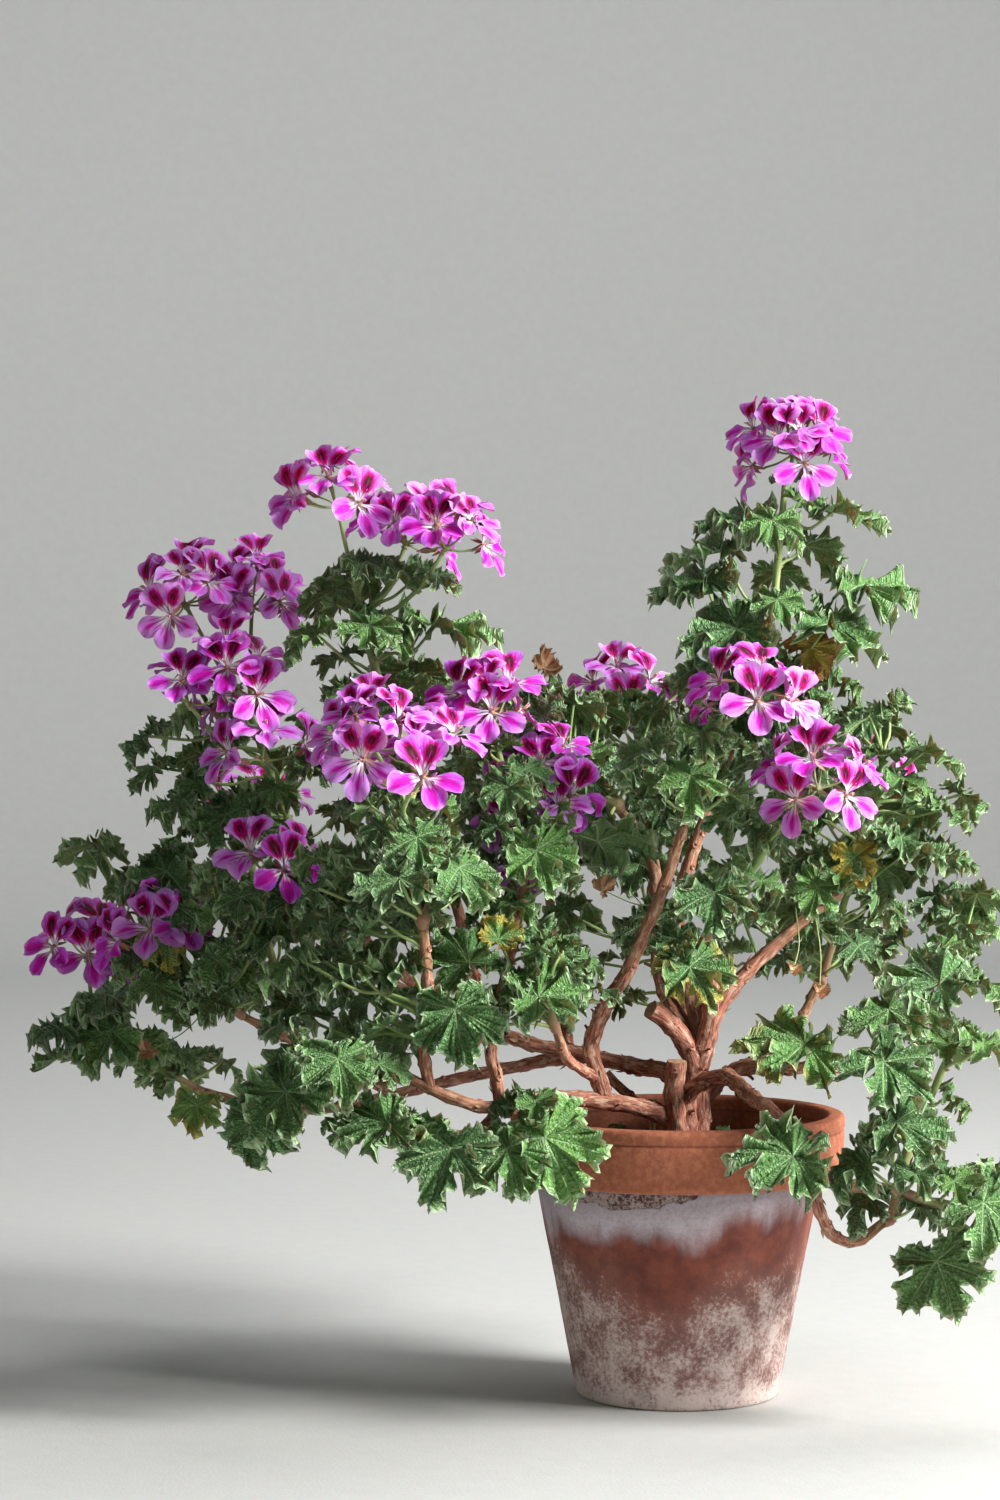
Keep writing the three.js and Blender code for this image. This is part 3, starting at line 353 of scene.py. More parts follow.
# Name, shoot, place on it and number of flowers; the stalk's route.
BLOOMS = named(BloomPlan, """
top_right top_right 1 7; 80 56 619
left_high left_tall 1 4; -219 24 557, -224 20 581
left_high_middle left_tall 0.9 4; -192 36 532, -181 42 558
left_high_right left_tall 0.86 3; -184 8 518, -166 -6 535, -154 -12 553
left_far left 1 5; -309 66 483, -328 60 518
left_far_right left 1 5; -287 76 478, -286 82 516
left_upper left 0.95 4; -287 40 442, -291 26 462
left_upper_low left 0.85 2; -304 52 429, -323 36 451
left_small left 0.7 2; -267 44 408, -274 22 415
left_centre front_left 1 5; -181 -104 402, -195 -106 424
left_centre_right front_left 1 3; -171 -90 398, -163 -84 413
left_drooping front_left 0.95 1; -177 -132 387, -173 -144 398
centre_high knee 1 4; -120 -40 430, -121 -40 438
centre_left centre_left 1 4; -80 -4 400, -87 -20 398
centre_low centre_left 0.9 2; -78 -10 383, -95 -34 371
left_middle left_mid 1 2; -269 -8 331, -269 -14 339
left_low left_outer 1 3; -345 44 281, -347 38 289
left_edge left_trail 1 3; -399 120 246, -402 112 276
right_centre centre 1 4; 27 -80 442, 39 -90 451
right diagonal 1 4; 79 -50 392, 85 -62 398
back_middle back 1 3; -27 172 442, -30 186 452
back_right right_back 1 3; 142 200 388, 144 214 391
back_left back_left_tall 0.85 4; -103 190 413, -106 210 424
back_left_low left_back 1 3; -296 200 365, -295 216 373
""")


# ---- vectors, routes and random draws


def vec(*values: float) -> Array:
    """Return the numbers as a vector."""
    return np.array(values, dtype=float)


def unit(vector: Array) -> Array:
    """Return the vector at length one."""
    return vector / max(float(np.linalg.norm(vector)), 1e-12)


def spoke(turn: float, z: float = 0.0) -> Array:
    """Return the way that points out at a turn round the upright, with its height given."""
    return vec(math.cos(turn), math.sin(turn), z)


def apart(first: Array, second: Array) -> float:
    """Return the distance between two points."""
    return float(np.linalg.norm(first - second))


def looking(face: Array, tip: Array) -> Array:
    """Return a blade's frame.

    Args:
        face: its third axis.
        tip: what its second axis leans to.

    Returns:
        Its axes as the columns of a matrix.
    """
    z = unit(face)
    y = unit(tip - np.dot(tip, z) * z)
    return np.column_stack((np.cross(y, z), y, z))


def dice(seed: int) -> Iterator[float]:
    """Give a repeatable run of numbers for the plan's rule.

    Args:
        seed: where it starts.

    Yields:
        The next number, from 0 to 1.
    """
    while True:
        seed = (seed * 1664525 + 1013904223) % 2**32
        yield seed / 2**32


class Route:
    """A smooth curve through points."""

    def __init__(self, points: Iterable[Point]) -> None:
        """Keep the points that the curve goes through."""
        self.points = [vec(*point) for point in points]

    def at(self, share: float) -> Array:
        """Return a point of the curve.

        Args:
            share: its share of the way, even from point to point.

        Returns:
            The point.
        """
        last = len(self.points) - 1
        index = min(int(last * share), last - 1)
        weight = last * share - index
        here, there = self.points[index], self.points[index + 1]
        before = self.points[index - 1] if index > 0 else 2 * here - there
        after = self.points[index + 2] if index + 2 <= last else 2 * there - here
        leaving = (there - before) / 2
        arriving = (after - here) / 2
        square = (-3 * here + 3 * there - 2 * leaving - arriving) * weight**2
        cube = (2 * here - 2 * there + leaving + arriving) * weight**3
        return here + leaving * weight + square + cube

    def ahead(self, share: float) -> Array:
        """Return the unit direction of the curve at a share of the way."""
        step = 0.0001
        return unit(self.at(min(1.0, share + step)) - self.at(max(0.0, share - step)))

    def sampled(self, pitch: float) -> tuple[Array, Array]:
        """Return even points of the curve.

        Args:
            pitch: about how far apart they are.

        Returns:
            The points, and each one's share of the length.
        """
        rough = np.array([self.at(share) for share in np.linspace(0, 1, 12 * len(self.points))])
        lengths = np.insert(np.cumsum(np.linalg.norm(np.diff(rough, axis=0), axis=1)), 0, 0.0)
        along = np.linspace(0, lengths[-1], max(3, int(lengths[-1] / pitch) + 1))
        points = np.column_stack([np.interp(along, lengths, rough[:, axis]) for axis in range(3)])
        return points, along / lengths[-1]


def shoot_route(plan: ShootPlan) -> Route:
    """Return the route of a green shoot, which leaves its woody stem straight."""
    wood = Route(WOOD[plan.grows_from].route)
    return Route([*(wood.at(1) + reach * wood.ahead(1) for reach in (0.35, 8)), *plan.route])


def stalk_route(plan: BloomPlan) -> Route:
    """Return the route of a flower head's stalk."""
    return Route([shoot_route(SHOOTS[plan.on]).at(plan.at), *plan.route])


@dataclass
class Leaf:
    """A leaf in place: where its petiole starts and ends, how it lies, and how it looks."""

    on: str
    root: Array
    joint: Array
    face: Array
    tip: Array
    size: float
    age: float = 0.6
    wither: float = 0.0
    bend: float = 0.1


@dataclass
class Flower:
    """A flower in place: its head's middle, where its stalk ends, and the way it faces."""

    hub: Array
    joint: Array
    way: Array
    size: float = 1.0

    @property
    def axes(self) -> Array:
        """Return the flower's frame: it leans to the light in front, with its dark petals above."""
        face = self.way * (0.85, 0.55, 0.8) + (0, -0.35, 0.28)
        return looking(face, self.way * (-0.4, -0.4, 0) + UP)


class Plan:
    """Where every leaf and flower of the plant stands."""

    HUB_RISE = 3.35
    FLOWER_STALK = 25.0
    FILLING = 0.75
    TRIES = 8
    EXTRA_SHARE = 1.5
    EXTRA_LEAST = 4
    EXTRA_ROOM = 0.56
    EXTRA_SIZE = 0.74
    SPACING = 0.85
    HEAD_TRIES = 12
    HEAD_ROOM = 32.0
    HEAD_MIDDLE = 15.0
    KEPT_CLEAR = 150.0
    KEPT_CLEAR_TOP = 215.0
    LOWEST = 60.0
    PENALTY = 2.0
    RULE_SEED = 7
    CLUSTER_SEED = 2000
    EXTRA_SEED = 4000
    HEAD_SEED = 7000

    def __init__(self) -> None:
        """Set every leaf, the large ones as listed and the rest by rule."""
        self.leaves: list[Leaf] = []
        middles = (stalk_route(plan).at(1) + UP * self.HEAD_MIDDLE for plan in BLOOMS.values())
        self.taken = [(middle, self.HEAD_ROOM) for middle in middles]
        for plan in LARGE_LEAVES:
            leaf = self.set_by_hand(plan)
            middle = leaf.joint + looking(leaf.face, leaf.tip)[:, 1] * leaf.size * 0.4
            self.taken.append((middle, leaf.size))
        for name, shoot in SHOOTS.items():
            seed = round(shoot.turn * 1000) + self.RULE_SEED
            self.set_by_rule(name, shoot.leaves, 1.0, seed, -math.inf)
        for plan in ODD_LEAVES:
            self.set_by_hand(plan)
        for order, cluster in enumerate(CLUSTERS):
            self.set_cluster(cluster, dice(self.CLUSTER_SEED + order).__next__)
        for order, (name, shoot) in enumerate(SHOOTS.items()):
            count = round(shoot.leaves * self.EXTRA_SHARE) + self.EXTRA_LEAST
            self.set_by_rule(name, count, self.EXTRA_SIZE, self.EXTRA_SEED + order, self.EXTRA_ROOM)

    def hub(self, plan: BloomPlan) -> tuple[Array, Array]:
        """Return a flower head's middle and the way that its stalk ends."""
        route = stalk_route(plan)
        return route.at(1) + route.ahead(1) * self.HUB_RISE, route.ahead(1)

    def head(self, name: str) -> list[Flower]:
        """Return the flowers of a head: a dome of them, and smaller ones that fill it.

        Args:
            name: the head's name.

        Returns:
            Its flowers.
        """
        plan, order = BLOOMS[name], list(BLOOMS).index(name)
        hub, ahead = self.hub(plan)
        axis = unit(ahead + vec(0, -0.15, 0.5))
        spread = min(1.72, 0.5 + 0.26 * plan.flowers)
        side = unit(np.cross(axis, UP if abs(axis[2]) < 0.95 else vec(0, 1, 0)))
        front = np.cross(axis, side)
        found = []
        for k in range(plan.flowers):
            lean = math.acos(1 - (1 - math.cos(spread)) * ((k + 0.5) / plan.flowers))
            around = spoke(order * 1.3 + GOLDEN_ANGLE * k) @ [side, front, axis]
            way = axis * math.cos(lean) + around * math.sin(lean)
            found.append(Flower(hub, hub + way * self.FLOWER_STALK, way))
        roll = dice(self.HEAD_SEED + order).__next__
        for _ in range(round((plan.flowers - 1) * self.FILLING)):
            best, best_room = found[0], 0.0
            for _ in range(self.HEAD_TRIES):
                free = vec(2 * roll() - 1, 1.6 * roll() - 1.1, 1.5 * roll() - 0.2)
                way = unit(unit(free) + 0.35 * ahead)
                joint = hub + way * self.FLOWER_STALK * (1.05 + 0.25 * roll())
                room = min(apart(joint, other.joint) for other in found)
                if room > best_room:
                    best, best_room = Flower(hub, joint, way, 0.8 + 0.16 * roll()), room
            found.append(best)
        return found

    def room(self, centre: Array, size: float) -> float:
        """Return how free a place is, 1 where a leaf of a size would just touch another."""
        return min(apart(centre, other) / (size + near) for other, near in self.taken)

    def set_by_hand(self, plan: LeafPlan) -> Leaf:
        """Set a leaf that the plan lists one by one.

        Args:
            plan: the leaf's row.

        Returns:
            The leaf in place.
        """
        joint, face = (vec(*point) for point in plan.points)
        root = shoot_route(SHOOTS[plan.on]).at(plan.at)
        aim = math.radians(plan.aim)
        tip = vec(math.cos(aim), 0, math.sin(aim))
        leaf = Leaf(plan.on, root, joint, unit(face), tip, plan.size, plan.age, plan.wither, 0.2)
        self.leaves.append(leaf)
        return leaf

    def set_by_rule(self, name: str, count: int, smaller: float, seed: int, least: float) -> None:
        """Set leaves along a shoot, each where it is freest of a few places.

        Args:
            name: the shoot's name.
            count: how many leaves are tried.
            smaller: a share of the shoot's leaf size and petiole.
            seed: where the random draws start.
            least: the least room for a leaf.
        """
        shoot = SHOOTS[name]
        route = shoot_route(shoot)
        roll = dice(seed).__next__
        for i in range(count):
            best_room = -math.inf
            for _ in range(self.TRIES):
                at = 0.06 + 0.9 * ((i + 0.2 + 0.6 * roll()) / count)
                azimuth = shoot.turn + GOLDEN_ANGLE * i + (roll() - 0.5) * 1.6
                reach = smaller * shoot.petiole * (0.7 + 0.6 * roll()) * (1.15 - 0.4 * at)
                size = smaller * shoot.size * (0.82 + 0.3 * roll()) * (1.06 - 0.26 * at)
                tilt = 0.35 + 0.75 * roll()
                droop = 0.15 + 0.5 * roll()
                root = route.at(at)
                out = unit(spoke(azimuth) + 0.45 * unit(root * (1, 1, 0)))
                joint = root + unit(out + 0.6 * UP) * reach
                centre = joint + out * size * 0.4
                room = self.room(centre, size) / self.SPACING
                aside, height = math.hypot(centre[0], centre[1]), centre[2]
                over_pot = aside < self.KEPT_CLEAR and height < self.KEPT_CLEAR_TOP
                if over_pot or height < self.LOWEST:
                    room -= self.PENALTY
                if room > best_room:
                    best_room, best_centre = room, centre
                    face, tip = unit(out * tilt + UP), out - UP * droop
                    best = Leaf(name, root, joint, face, tip, size, 1 - 0.8 * at)
                if room > 1:
                    break
            if best_room > least:
                self.taken.append((best_centre, best.size))
                self.leaves.append(best)

    def set_cluster(self, cluster: LeafCluster, roll: Callable[[], float]) -> None:
        """Set the leaves of a cluster, each where it is freest of a few places.

        Args:
            cluster: the space to fill.
            roll: gives the random numbers.
        """
        shoot = SHOOTS[cluster.on]
        middle, spread = (vec(*point) for point in cluster.points)
        wood = Route(WOOD[shoot.grows_from].route).sampled(4)[0]
        stems = np.concatenate((wood[len(wood) // 3:], shoot_route(shoot).sampled(4)[0]))
        for _ in range(cluster.count):
            places = [
                (middle + spread * [2 * roll() - 1 for _ in range(3)],
                 cluster.size * (0.75 + 0.35 * roll())) for _ in range(self.TRIES)]
            centre, size = max(places, key=lambda place: self.room(*place))
            below = centre - 22 * UP
            root = stems[np.argmin(np.linalg.norm(stems - below, axis=1))]
            flat = unit((centre - root) * (1, 1, 0))
            out = unit(flat + vec(roll() - 0.5, roll() - 0.7, 0))
            joint = centre - out * size * 0.4
            face = unit(out * (0.3 + 0.8 * roll()) + UP)
            tip = out - UP * (0.15 + 0.5 * roll())
            age = 0.35 + 0.6 * roll()
            self.taken.append((centre, size))
            self.leaves.append(Leaf(cluster.on, root, joint, face, tip, size, age))


# ---- mesh tools


class Form:
    """The points and faces of one shape, with a pattern place and a tone for each point."""

    def __init__(self) -> None:
        """Start with nothing."""
        self.points: list[Array] = []
        self.patterns: list[Array] = []
        self.tones: list[Array] = []
        self.faces: list[list[int]] = []
        self.parts: list[int] = []
        self.sharp: list[int] = []
        self.count = 0

    def stack(
        self, rows: Sequence[Array], ends: Sequence[Array], parts: Part | Sequence[Part],
        patterns: Array | None = None, tones: Array | float = 0.0, sharp: Iterable[int] = (),
    ) -> None:
        """Add a closed piece made of rings of points between two end points.

        Args:
            rows: the rings, anticlockwise seen from the far end.
            ends: the first point and the last.
            parts: what each step belongs to.
            patterns: each point's place in the finish's pattern.
            tones: each point's number for the finish.
            sharp: the rings that stay sharp.
        """
        sides, last = len(rows[0]), (len(rows) - 1) * len(rows[0])
        points = np.concatenate([*rows, ends])
        side = np.arange(sides) + self.count
        after = np.roll(side, -1)
        end = np.full(sides, self.count + len(points) - 2)
        strips = [(end, after, side)]
        for low in range(0, last, sides):
            high = low + sides
            strips.append((side + low, after + low, after + high, side + high))
        strips.append((side + last, after + last, end + 1))
        parts = [parts] * len(strips) if isinstance(parts, Part) else parts
        for strip, part in zip(strips, parts):
            self.faces += np.column_stack(strip).tolist()
            self.parts += [part.value] * sides
        for row in sharp:
            self.sharp += (side + row * sides).tolist()
        self.points.append(points)
        self.patterns.append(points if patterns is None else patterns)
        self.tones.append(np.broadcast_to(tones, len(points)))
        self.count += len(points)

    def mesh(self, name: str, scale: float = MM) -> bpy.types.Mesh:
        """Return the shape as a mesh.

        Args:
            name: its name.
            scale: how many metres one of its units is.

        Returns:
            The mesh.
        """
        mesh = bpy.data.meshes.new(name)
        if not self.points:
            return mesh
        mesh.from_pydata((np.concatenate(self.points) * scale).tolist(), [], self.faces)
        mesh.shade_smooth()
        marked = set(self.sharp)
        sharp = [marked.issuperset(edge.vertices) for edge in mesh.edges]
        patterns = np.concatenate(self.patterns).astype(np.float32).ravel()
        tones = np.concatenate(self.tones).astype(np.float32)
        for label, kind, domain, key, values in (
            ("pattern", "FLOAT_VECTOR", "POINT", "vector", patterns),
            ("tone", "FLOAT", "POINT", "value", tones),
            ("part", "INT", "FACE", "value", self.parts),
            ("sharp_edge", "BOOLEAN", "EDGE", "value", sharp),
        ):
            mesh.attributes.new(label, kind, domain).data.foreach_set(key, values)
        return mesh

    def lathe(
        self, profile: Sequence[Point], sides: int, part: Part = Part.BARK,
        shape: Callable[[Array], Array] = np.array, centre: Point = (0, 0),
    ) -> None:
        """Add a solid of revolution whose profile starts and ends on the axis.

        Args:
            profile: radius and height, from the bottom round to the top.
            sides: how many steps it has round the axis.
            part: what it belongs to.
            shape: moves a point, as for small bumps.
            centre: the place of the axis.
        """
        ring = np.array([spoke(FULL_TURN * side / sides) for side in range(sides)])
        axis = vec(*centre, 0)
        rows = [np.array([shape(point) for point in axis + ring * radius + UP * height])
                for radius, height in profile]
        self.stack(rows[1:-1], [shape(row[0]) for row in (rows[0], rows[-1])], part)

    def tube(
        self, points: Array, radii: Array, sides: int, part: Part,
        rough: Callable[[float, float], float] = lambda turn, along: 1.0,
        cut: bool = False, tone: Array | float = 0.0,
    ) -> None:
        """Add a round stem that is closed at both ends.

        Args:
            points: the middle of each ring.
            radii: the rings' radii.
            sides: how many points a ring has.
            part: what it belongs to.
            rough: a share of the radius at a turn and a distance.
            cut: whether its far end is cut across.
            tone: each ring's number for the finish.
        """
        steps = np.linalg.norm(np.diff(points, axis=0), axis=1)
        along = np.insert(np.cumsum(steps), 0, 0.0)
        turns = FULL_TURN * np.arange(sides) / sides
        circle = np.column_stack((np.cos(turns), np.sin(turns)))
        tones = np.broadcast_to(tone, len(points))
        rows, patterns = [], []
        across = vec(0.3, 1, 0.1)
        for middle, way, radius, distance in zip(points, np.gradient(points, axis=0), radii, along):
            way = unit(way)
            across = unit(across - np.dot(across, way) * way)
            reach = radius * vec(*(rough(turn, distance) for turn in turns))
            rows.append(middle + circle * reach[:, None] @ [across, np.cross(way, across)])
            patterns.append(np.column_stack((circle * radius, np.full(sides, distance))))
        patterns.append([(0, 0, 0), (0, 0, along[-1])])
        ends = [points[0], points[-1] + way * radii[-1] * 0.15]
        parts = [part] * len(rows) + [Part.CUT if cut else part]
        tones = np.concatenate((np.repeat(tones, sides), tones[[0, -1]]))
        sharp = [len(rows) - 1] if cut else []
        self.stack(rows, ends, parts, np.concatenate(patterns), tones, sharp)

    def sheet(
        self, outline: Array, centre: Point, shares: Sequence[float],
        lift: Callable[[Array, float], Array], thickness: float, parts: tuple[Part, Part],
        mark: float | None = None,
    ) -> None:
        """Add a thin blade whose two faces meet at its margin.

        Args:
            outline: the flat margin, anticlockwise from above.
            centre: the flat middle.
            shares: how far each ring reaches, the margin being 1.
            lift: gives a ring its points in space.
            thickness: how thick the middle is.
            parts: what the face and the back belong to.
            mark: the pattern's third number, or else each ring's share.
        """
        middle, down = vec(*centre), UP * thickness
        rows, places = [], []
        for share in (0.0, *shares):
            flat = middle + (outline - middle) * share
            rows.append(lift(flat, share))
            places.append(np.column_stack((flat, np.full(len(flat), share if mark is None else mark))))
        under = [row - down for row in rows[1:-1]]
        hub = rows[0][0]
        steps = [parts[1]] * len(shares) + [parts[0]] * len(shares)
        patterns = np.concatenate(places[1:-1] + places[:0:-1] + [places[0][:1]] * 2)
        self.stack(under + rows[:0:-1], [hub - down, hub], steps, patterns, sharp=[len(under)])


# ---- the shapes that repeat


@dataclass(frozen=True)
class LeafShape:
    """One form of the lobed, toothed and crisped leaf, one unit long from its joint to its tip."""

    seed: int
    droop: float
    fold: float
    crisp: float
    depth: float = 0.5
    base: float = 0.8
    teeth: int = 72
    part: Part = Part.LEAF_TOP
    pleat: float = 0.12
    tooth_depth: float = 0.075
    frill: float = 0.05

    SHARES = (0.34, 0.64, 0.86, 1.0)
    THICKNESS = 0.01
    LOBES = ((0, 1.0), (54, 0.9), (113, 0.74))
    PLEATS = (
        (0, -1), (14, -0.4), (27, 1), (40, -0.4), (54, -1), (68, -0.4), (83, 1), (98, -0.4),
        (113, -0.9), (130, 0.1), (150, 0.6), (165, 0.7), (180, 0.7),
    )

    def outline(self, roll: random.Random) -> Array:
        """Return the flat margin with its lobes and sharp teeth.

        Args:
            roll: the random draws.

        Returns:
            The points, anticlockwise from the base.
        """
        count = 2 * self.teeth
        jitter = vec(*(roll.uniform(-0.25, 0.25) for _ in range(count)))
        turns = -180 + 360 * (np.arange(count) + 0.5 + jitter) / count
        from_tip = np.abs(turns)
        base = np.interp(from_tip, (100, 128, 150, 168, 180), (0.0, 0.7, 0.56, 0.3, 0.1))
        reach = np.maximum(self.base * base, 0.1)
        for half in (turns < 0, turns >= 0):
            for turn, length in self.LOBES:
                length *= 1 + roll.uniform(-0.12, 0.12)
                away = np.abs(from_tip - turn) / (27 * roll.uniform(0.92, 1.12))
                lobe = length * (1 - self.depth * 0.55 * away**2 - 0.1 * away**6)
                reach = np.maximum(reach, np.where(half & (away < 1.5), lobe, 0))
        reach = reach * (1 + 0.06 * np.sin(np.radians(turns) * 19 + roll.uniform(0, 6.28)))
        depths = self.tooth_depth * vec(*(roll.uniform(0.5, 1.3) for _ in range(count)))
        reach = reach * (1 + depths * np.tile([-0.5, 0.5], self.teeth))
        angle = np.radians(turns)
        return np.column_stack((-np.sin(angle) * reach, np.cos(angle) * reach))

    def build(self, form: Form) -> None:
        """Add the leaf.

        Args:
            form: what it is added to.
        """
        roll = random.Random(self.seed)
        waves = roll.choice((21, 24, 27) if self.teeth > 90 else (16, 18, 20))
        phases = [roll.uniform(0, 6.28) for _ in range(4)]
        twist = roll.uniform(-0.3, 0.3)
        frills = self.frill * vec(*(roll.uniform(-1, 1) for _ in range(2 * self.teeth)))
        turns, heights = zip(*self.PLEATS)

        def lift(flat: Array, share: float) -> Array:
            """Return a ring bent, pleated and crisped.

            Args:
                flat: its flat points.
                share: how far out it lies.

            Returns:
                Its points in space.
            """
            x, y = flat.T
            reach = np.hypot(x, y)
            angle = np.arctan2(-x, y)
            pleats = np.interp(np.abs(np.degrees(angle)), turns, heights)
            ripple = np.sin(waves * angle + phases[0]) + 0.8 * np.sin(1.7 * waves * angle + phases[1])
            broad = np.sin(3 * angle + phases[2]) + 0.7 * np.sin(5 * angle + phases[3])
            z = self.pleat * pleats * share**1.3
            z += self.crisp * ripple * share**3 + frills[:len(flat)] * share**6
            z += 0.07 * broad * share**2
            z -= self.droop * (reach**2 - 0.7 * reach)
            z += self.fold * np.abs(x) * (1 - 0.3 * reach)
            z += twist * x * np.maximum(y, 0) * 0.6
            sway = 0.08 * np.cos(1.35 * waves * angle + phases[0]) * share**4
            shrink = 1 - 0.35 * abs(self.droop) * reach - 0.12 * abs(self.fold)
            bent = (x * shrink - np.cos(angle) * sway, y * shrink - np.sin(angle) * sway, z)
            return np.column_stack(bent)

        back = Part.LEAF_UNDER if self.part is Part.LEAF_TOP else self.part
        form.sheet(self.outline(roll), (0, 0), self.SHARES, lift, self.THICKNESS, (self.part, back))


@dataclass(frozen=True)
class FlowerShape:
    """One form of the flower, one unit from its joint to its petal tips."""

    seed: int
    open: float
    upper_width: float = 0.36
    lower_width: float = 0.3
    stamens: int = 6

    HALF_WIDTHS = (
        (0.0, 0.1), (0.1, 0.13), (0.24, 0.32), (0.4, 0.66), (0.54, 0.9), (0.68, 1.0),
        (0.8, 0.92), (0.9, 0.72), (0.97, 0.4), (0.995, 0.18),
    )

    def petal(self, form: Form, turn: float, lower: float, rise: float, roll: random.Random) -> None:
        """Add a petal.

        Args:
            form: what it is added to.
            turn: its turn from the flower's top, in degrees.
            lower: 1 for a lower petal and 0 for an upper one.
            rise: how high it stands.
            roll: the random draws.
        """
        width = self.lower_width if lower else self.upper_width
        length = roll.uniform(0.95, 1.06)
        right = [(width * share, along) for along, share in self.HALF_WIDTHS]
        left = [(-x, along) for x, along in reversed(right)]
        outline = np.array([*right, (0.0, roll.uniform(0.97, 1.0)), *left]) * (1, length)
        cup = roll.uniform(-0.1, 0.35)
        curl = roll.uniform(0.1, 0.5)
        wave = roll.uniform(0, 6.28)
        lean = roll.uniform(-0.12, 0.12)
        cos, sin, _ = spoke(math.radians(turn))

        def lift(flat: Array, share: float) -> Array:
            """Return a ring, raised from the throat and bent back.

            Args:
                flat: its flat points.
                share: how far out it lies.

            Returns:
                Its points in space.
            """
            x, y = flat.T
            z = rise * (1 - np.exp(-3.2 * y)) - curl * rise * np.maximum(0, y - 0.55) ** 2 * 2
            z += cup * x**2 / width + lean * x
            z += 0.055 * np.sin(4.5 * x / width + 6 * y + wave) * share**2
            z -= 0.05 * np.exp(-((x / 0.06) ** 2)) * share
            y = y * (1 - 0.25 * rise * y)
            return np.column_stack((x * cos - y * sin, x * sin + y * cos, z))

        parts = (Part.PETAL, Part.PETAL_BACK)
        form.sheet(outline, (0, 0.55 * length), (0.4, 0.75, 1.0), lift, 0.012, parts, lower)

    def build(self, form: Form) -> None:
        """Add the whole flower: five petals and the stamens.

        Args:
            form: what it is added to.
        """
        roll = random.Random(self.seed)
        for side in (-1, 1):
            turn = side * roll.uniform(24, 30)
            self.petal(form, turn, 0.0, 0.36 / self.open + 0.01 * side, roll)
        for turn in (116, 180, 244):
            rise = roll.uniform(0.12, 0.28) / self.open
            self.petal(form, turn + roll.uniform(-7, 7), 1.0, rise, roll)
        for number in range(self.stamens):
            lean = 0.12 * spoke(FULL_TURN * number / self.stamens) + vec(0, -0.1, 1)
            tip = lean * roll.uniform(0.26, 0.36)
            points = np.array([(0, 0, 0.02), tip * 0.6, tip * 0.93, tip])
            form.tube(points, vec(0.014, 0.01, 0.024, 0.008), 3, Part.STAMEN)


class SmallForm(Form):
    """A small shape that repeats: sepals, buds, bracts, scars, stubs and flakes."""

    def pointed(
        self, length: float, width: float, part: Part, axes: Array,
        base: Point = (0, 0, 0), curl: float = 0.3, back: Part | None = None,
    ) -> None:
        """Add a narrow pointed blade.

        Args:
            length: its length.
            width: its width.
            part: what it belongs to.
            axes: its axes as columns, the second along it.
            base: where it starts.
            curl: how far its tip bends back.
            back: what its back belongs to.
        """
        halves = ((0.25, 0.0), (0.5, 0.3), (0.4, 0.6), (0.15, 0.88))
        right = [(width * across, length * along) for across, along in halves]
        outline = np.array([*right, (0.0, length), *[(-x, y) for x, y in reversed(right)]])

        def lift(flat: Array, share: float) -> Array:
            """Return the flat points keeled and curled."""
            x, y = flat.T
            return np.column_stack((x, y, 0.5 * np.abs(x) - curl * y**2 / length)) @ axes.T + base

        self.sheet(outline, (0, 0.4 * length), (1.0,), lift, width * 0.06, (part, back or part))

    def calyx(self) -> None:
        """Add the green tube behind a flower and its five sepals."""
        heights, radii = (-0.42, -0.3, -0.1, 0.0, 0.05), (0.04, 0.05, 0.075, 0.085, 0.06)
        self.tube(np.outer(heights, UP), vec(*radii), 8, Part.STEM)
        for number in range(5):
            out = spoke(math.radians(126 + 72 * number))
            axes = looking(out * 0.6 + UP * 0.6, out + UP * 0.75)
            self.pointed(0.42, 0.15, Part.STEM, axes, out * 0.05, -0.12)

    def bud(self, swollen: float) -> None:
        """Add a pointed bud that shows a little pink at its tip.

        Args:
            swollen: how thick it is, near 1.
        """
        green, pink = vec(0.04, 0.1, 0.12, 0.1, 0.08), vec(0.085, 0.08, 0.05, 0.01)
        self.tube(np.outer((0.0, 0.1, 0.25, 0.42, 0.5), UP), green * swollen, 8, Part.STEM)
        high = vec(0.44, 0.55, 0.64, 0.72) * (0.8 + 0.2 * swollen)
        self.tube(np.outer(high, UP), pink * swollen, 8, Part.PETAL_BACK)
        for number in range(5):
            out = spoke(FULL_TURN * number / 5)
            base = out * 0.11 * swollen + UP * 0.12
            self.pointed(0.45, 0.12, Part.STEM, looking(out, UP), base, 0.1)

    def stipules(self) -> None:
        """Add the two small papery scales at the foot of a petiole."""
        for side in (-1, 1):
            axes = looking(vec(side * 0.5, -0.4, 0.8), vec(side, 0.5, 0.4))
            self.pointed(1.0, 0.6, Part.BRACT, axes)

    def scar(self) -> None:
        """Add the low ring that a fallen leaf leaves on a stem."""
        profile = [(0, -0.3), (0.9, -0.3), (1, 0.05), (0.75, 0.3), (0.45, 0.32), (0.3, 0.12), (0, 0.1)]
        self.lathe(profile, 8)

    def stub(self) -> None:
        """Add the dried stump of a side shoot, one unit thick and three long."""
        points = np.array([(0, 0, -0.4), (0, 0, 0.6), (0.1, 0.1, 1.6), (0.25, 0.1, 2.6)])
        self.tube(points, vec(0.75, 0.6, 0.5, 0.42), 6, Part.BARK, cut=True)


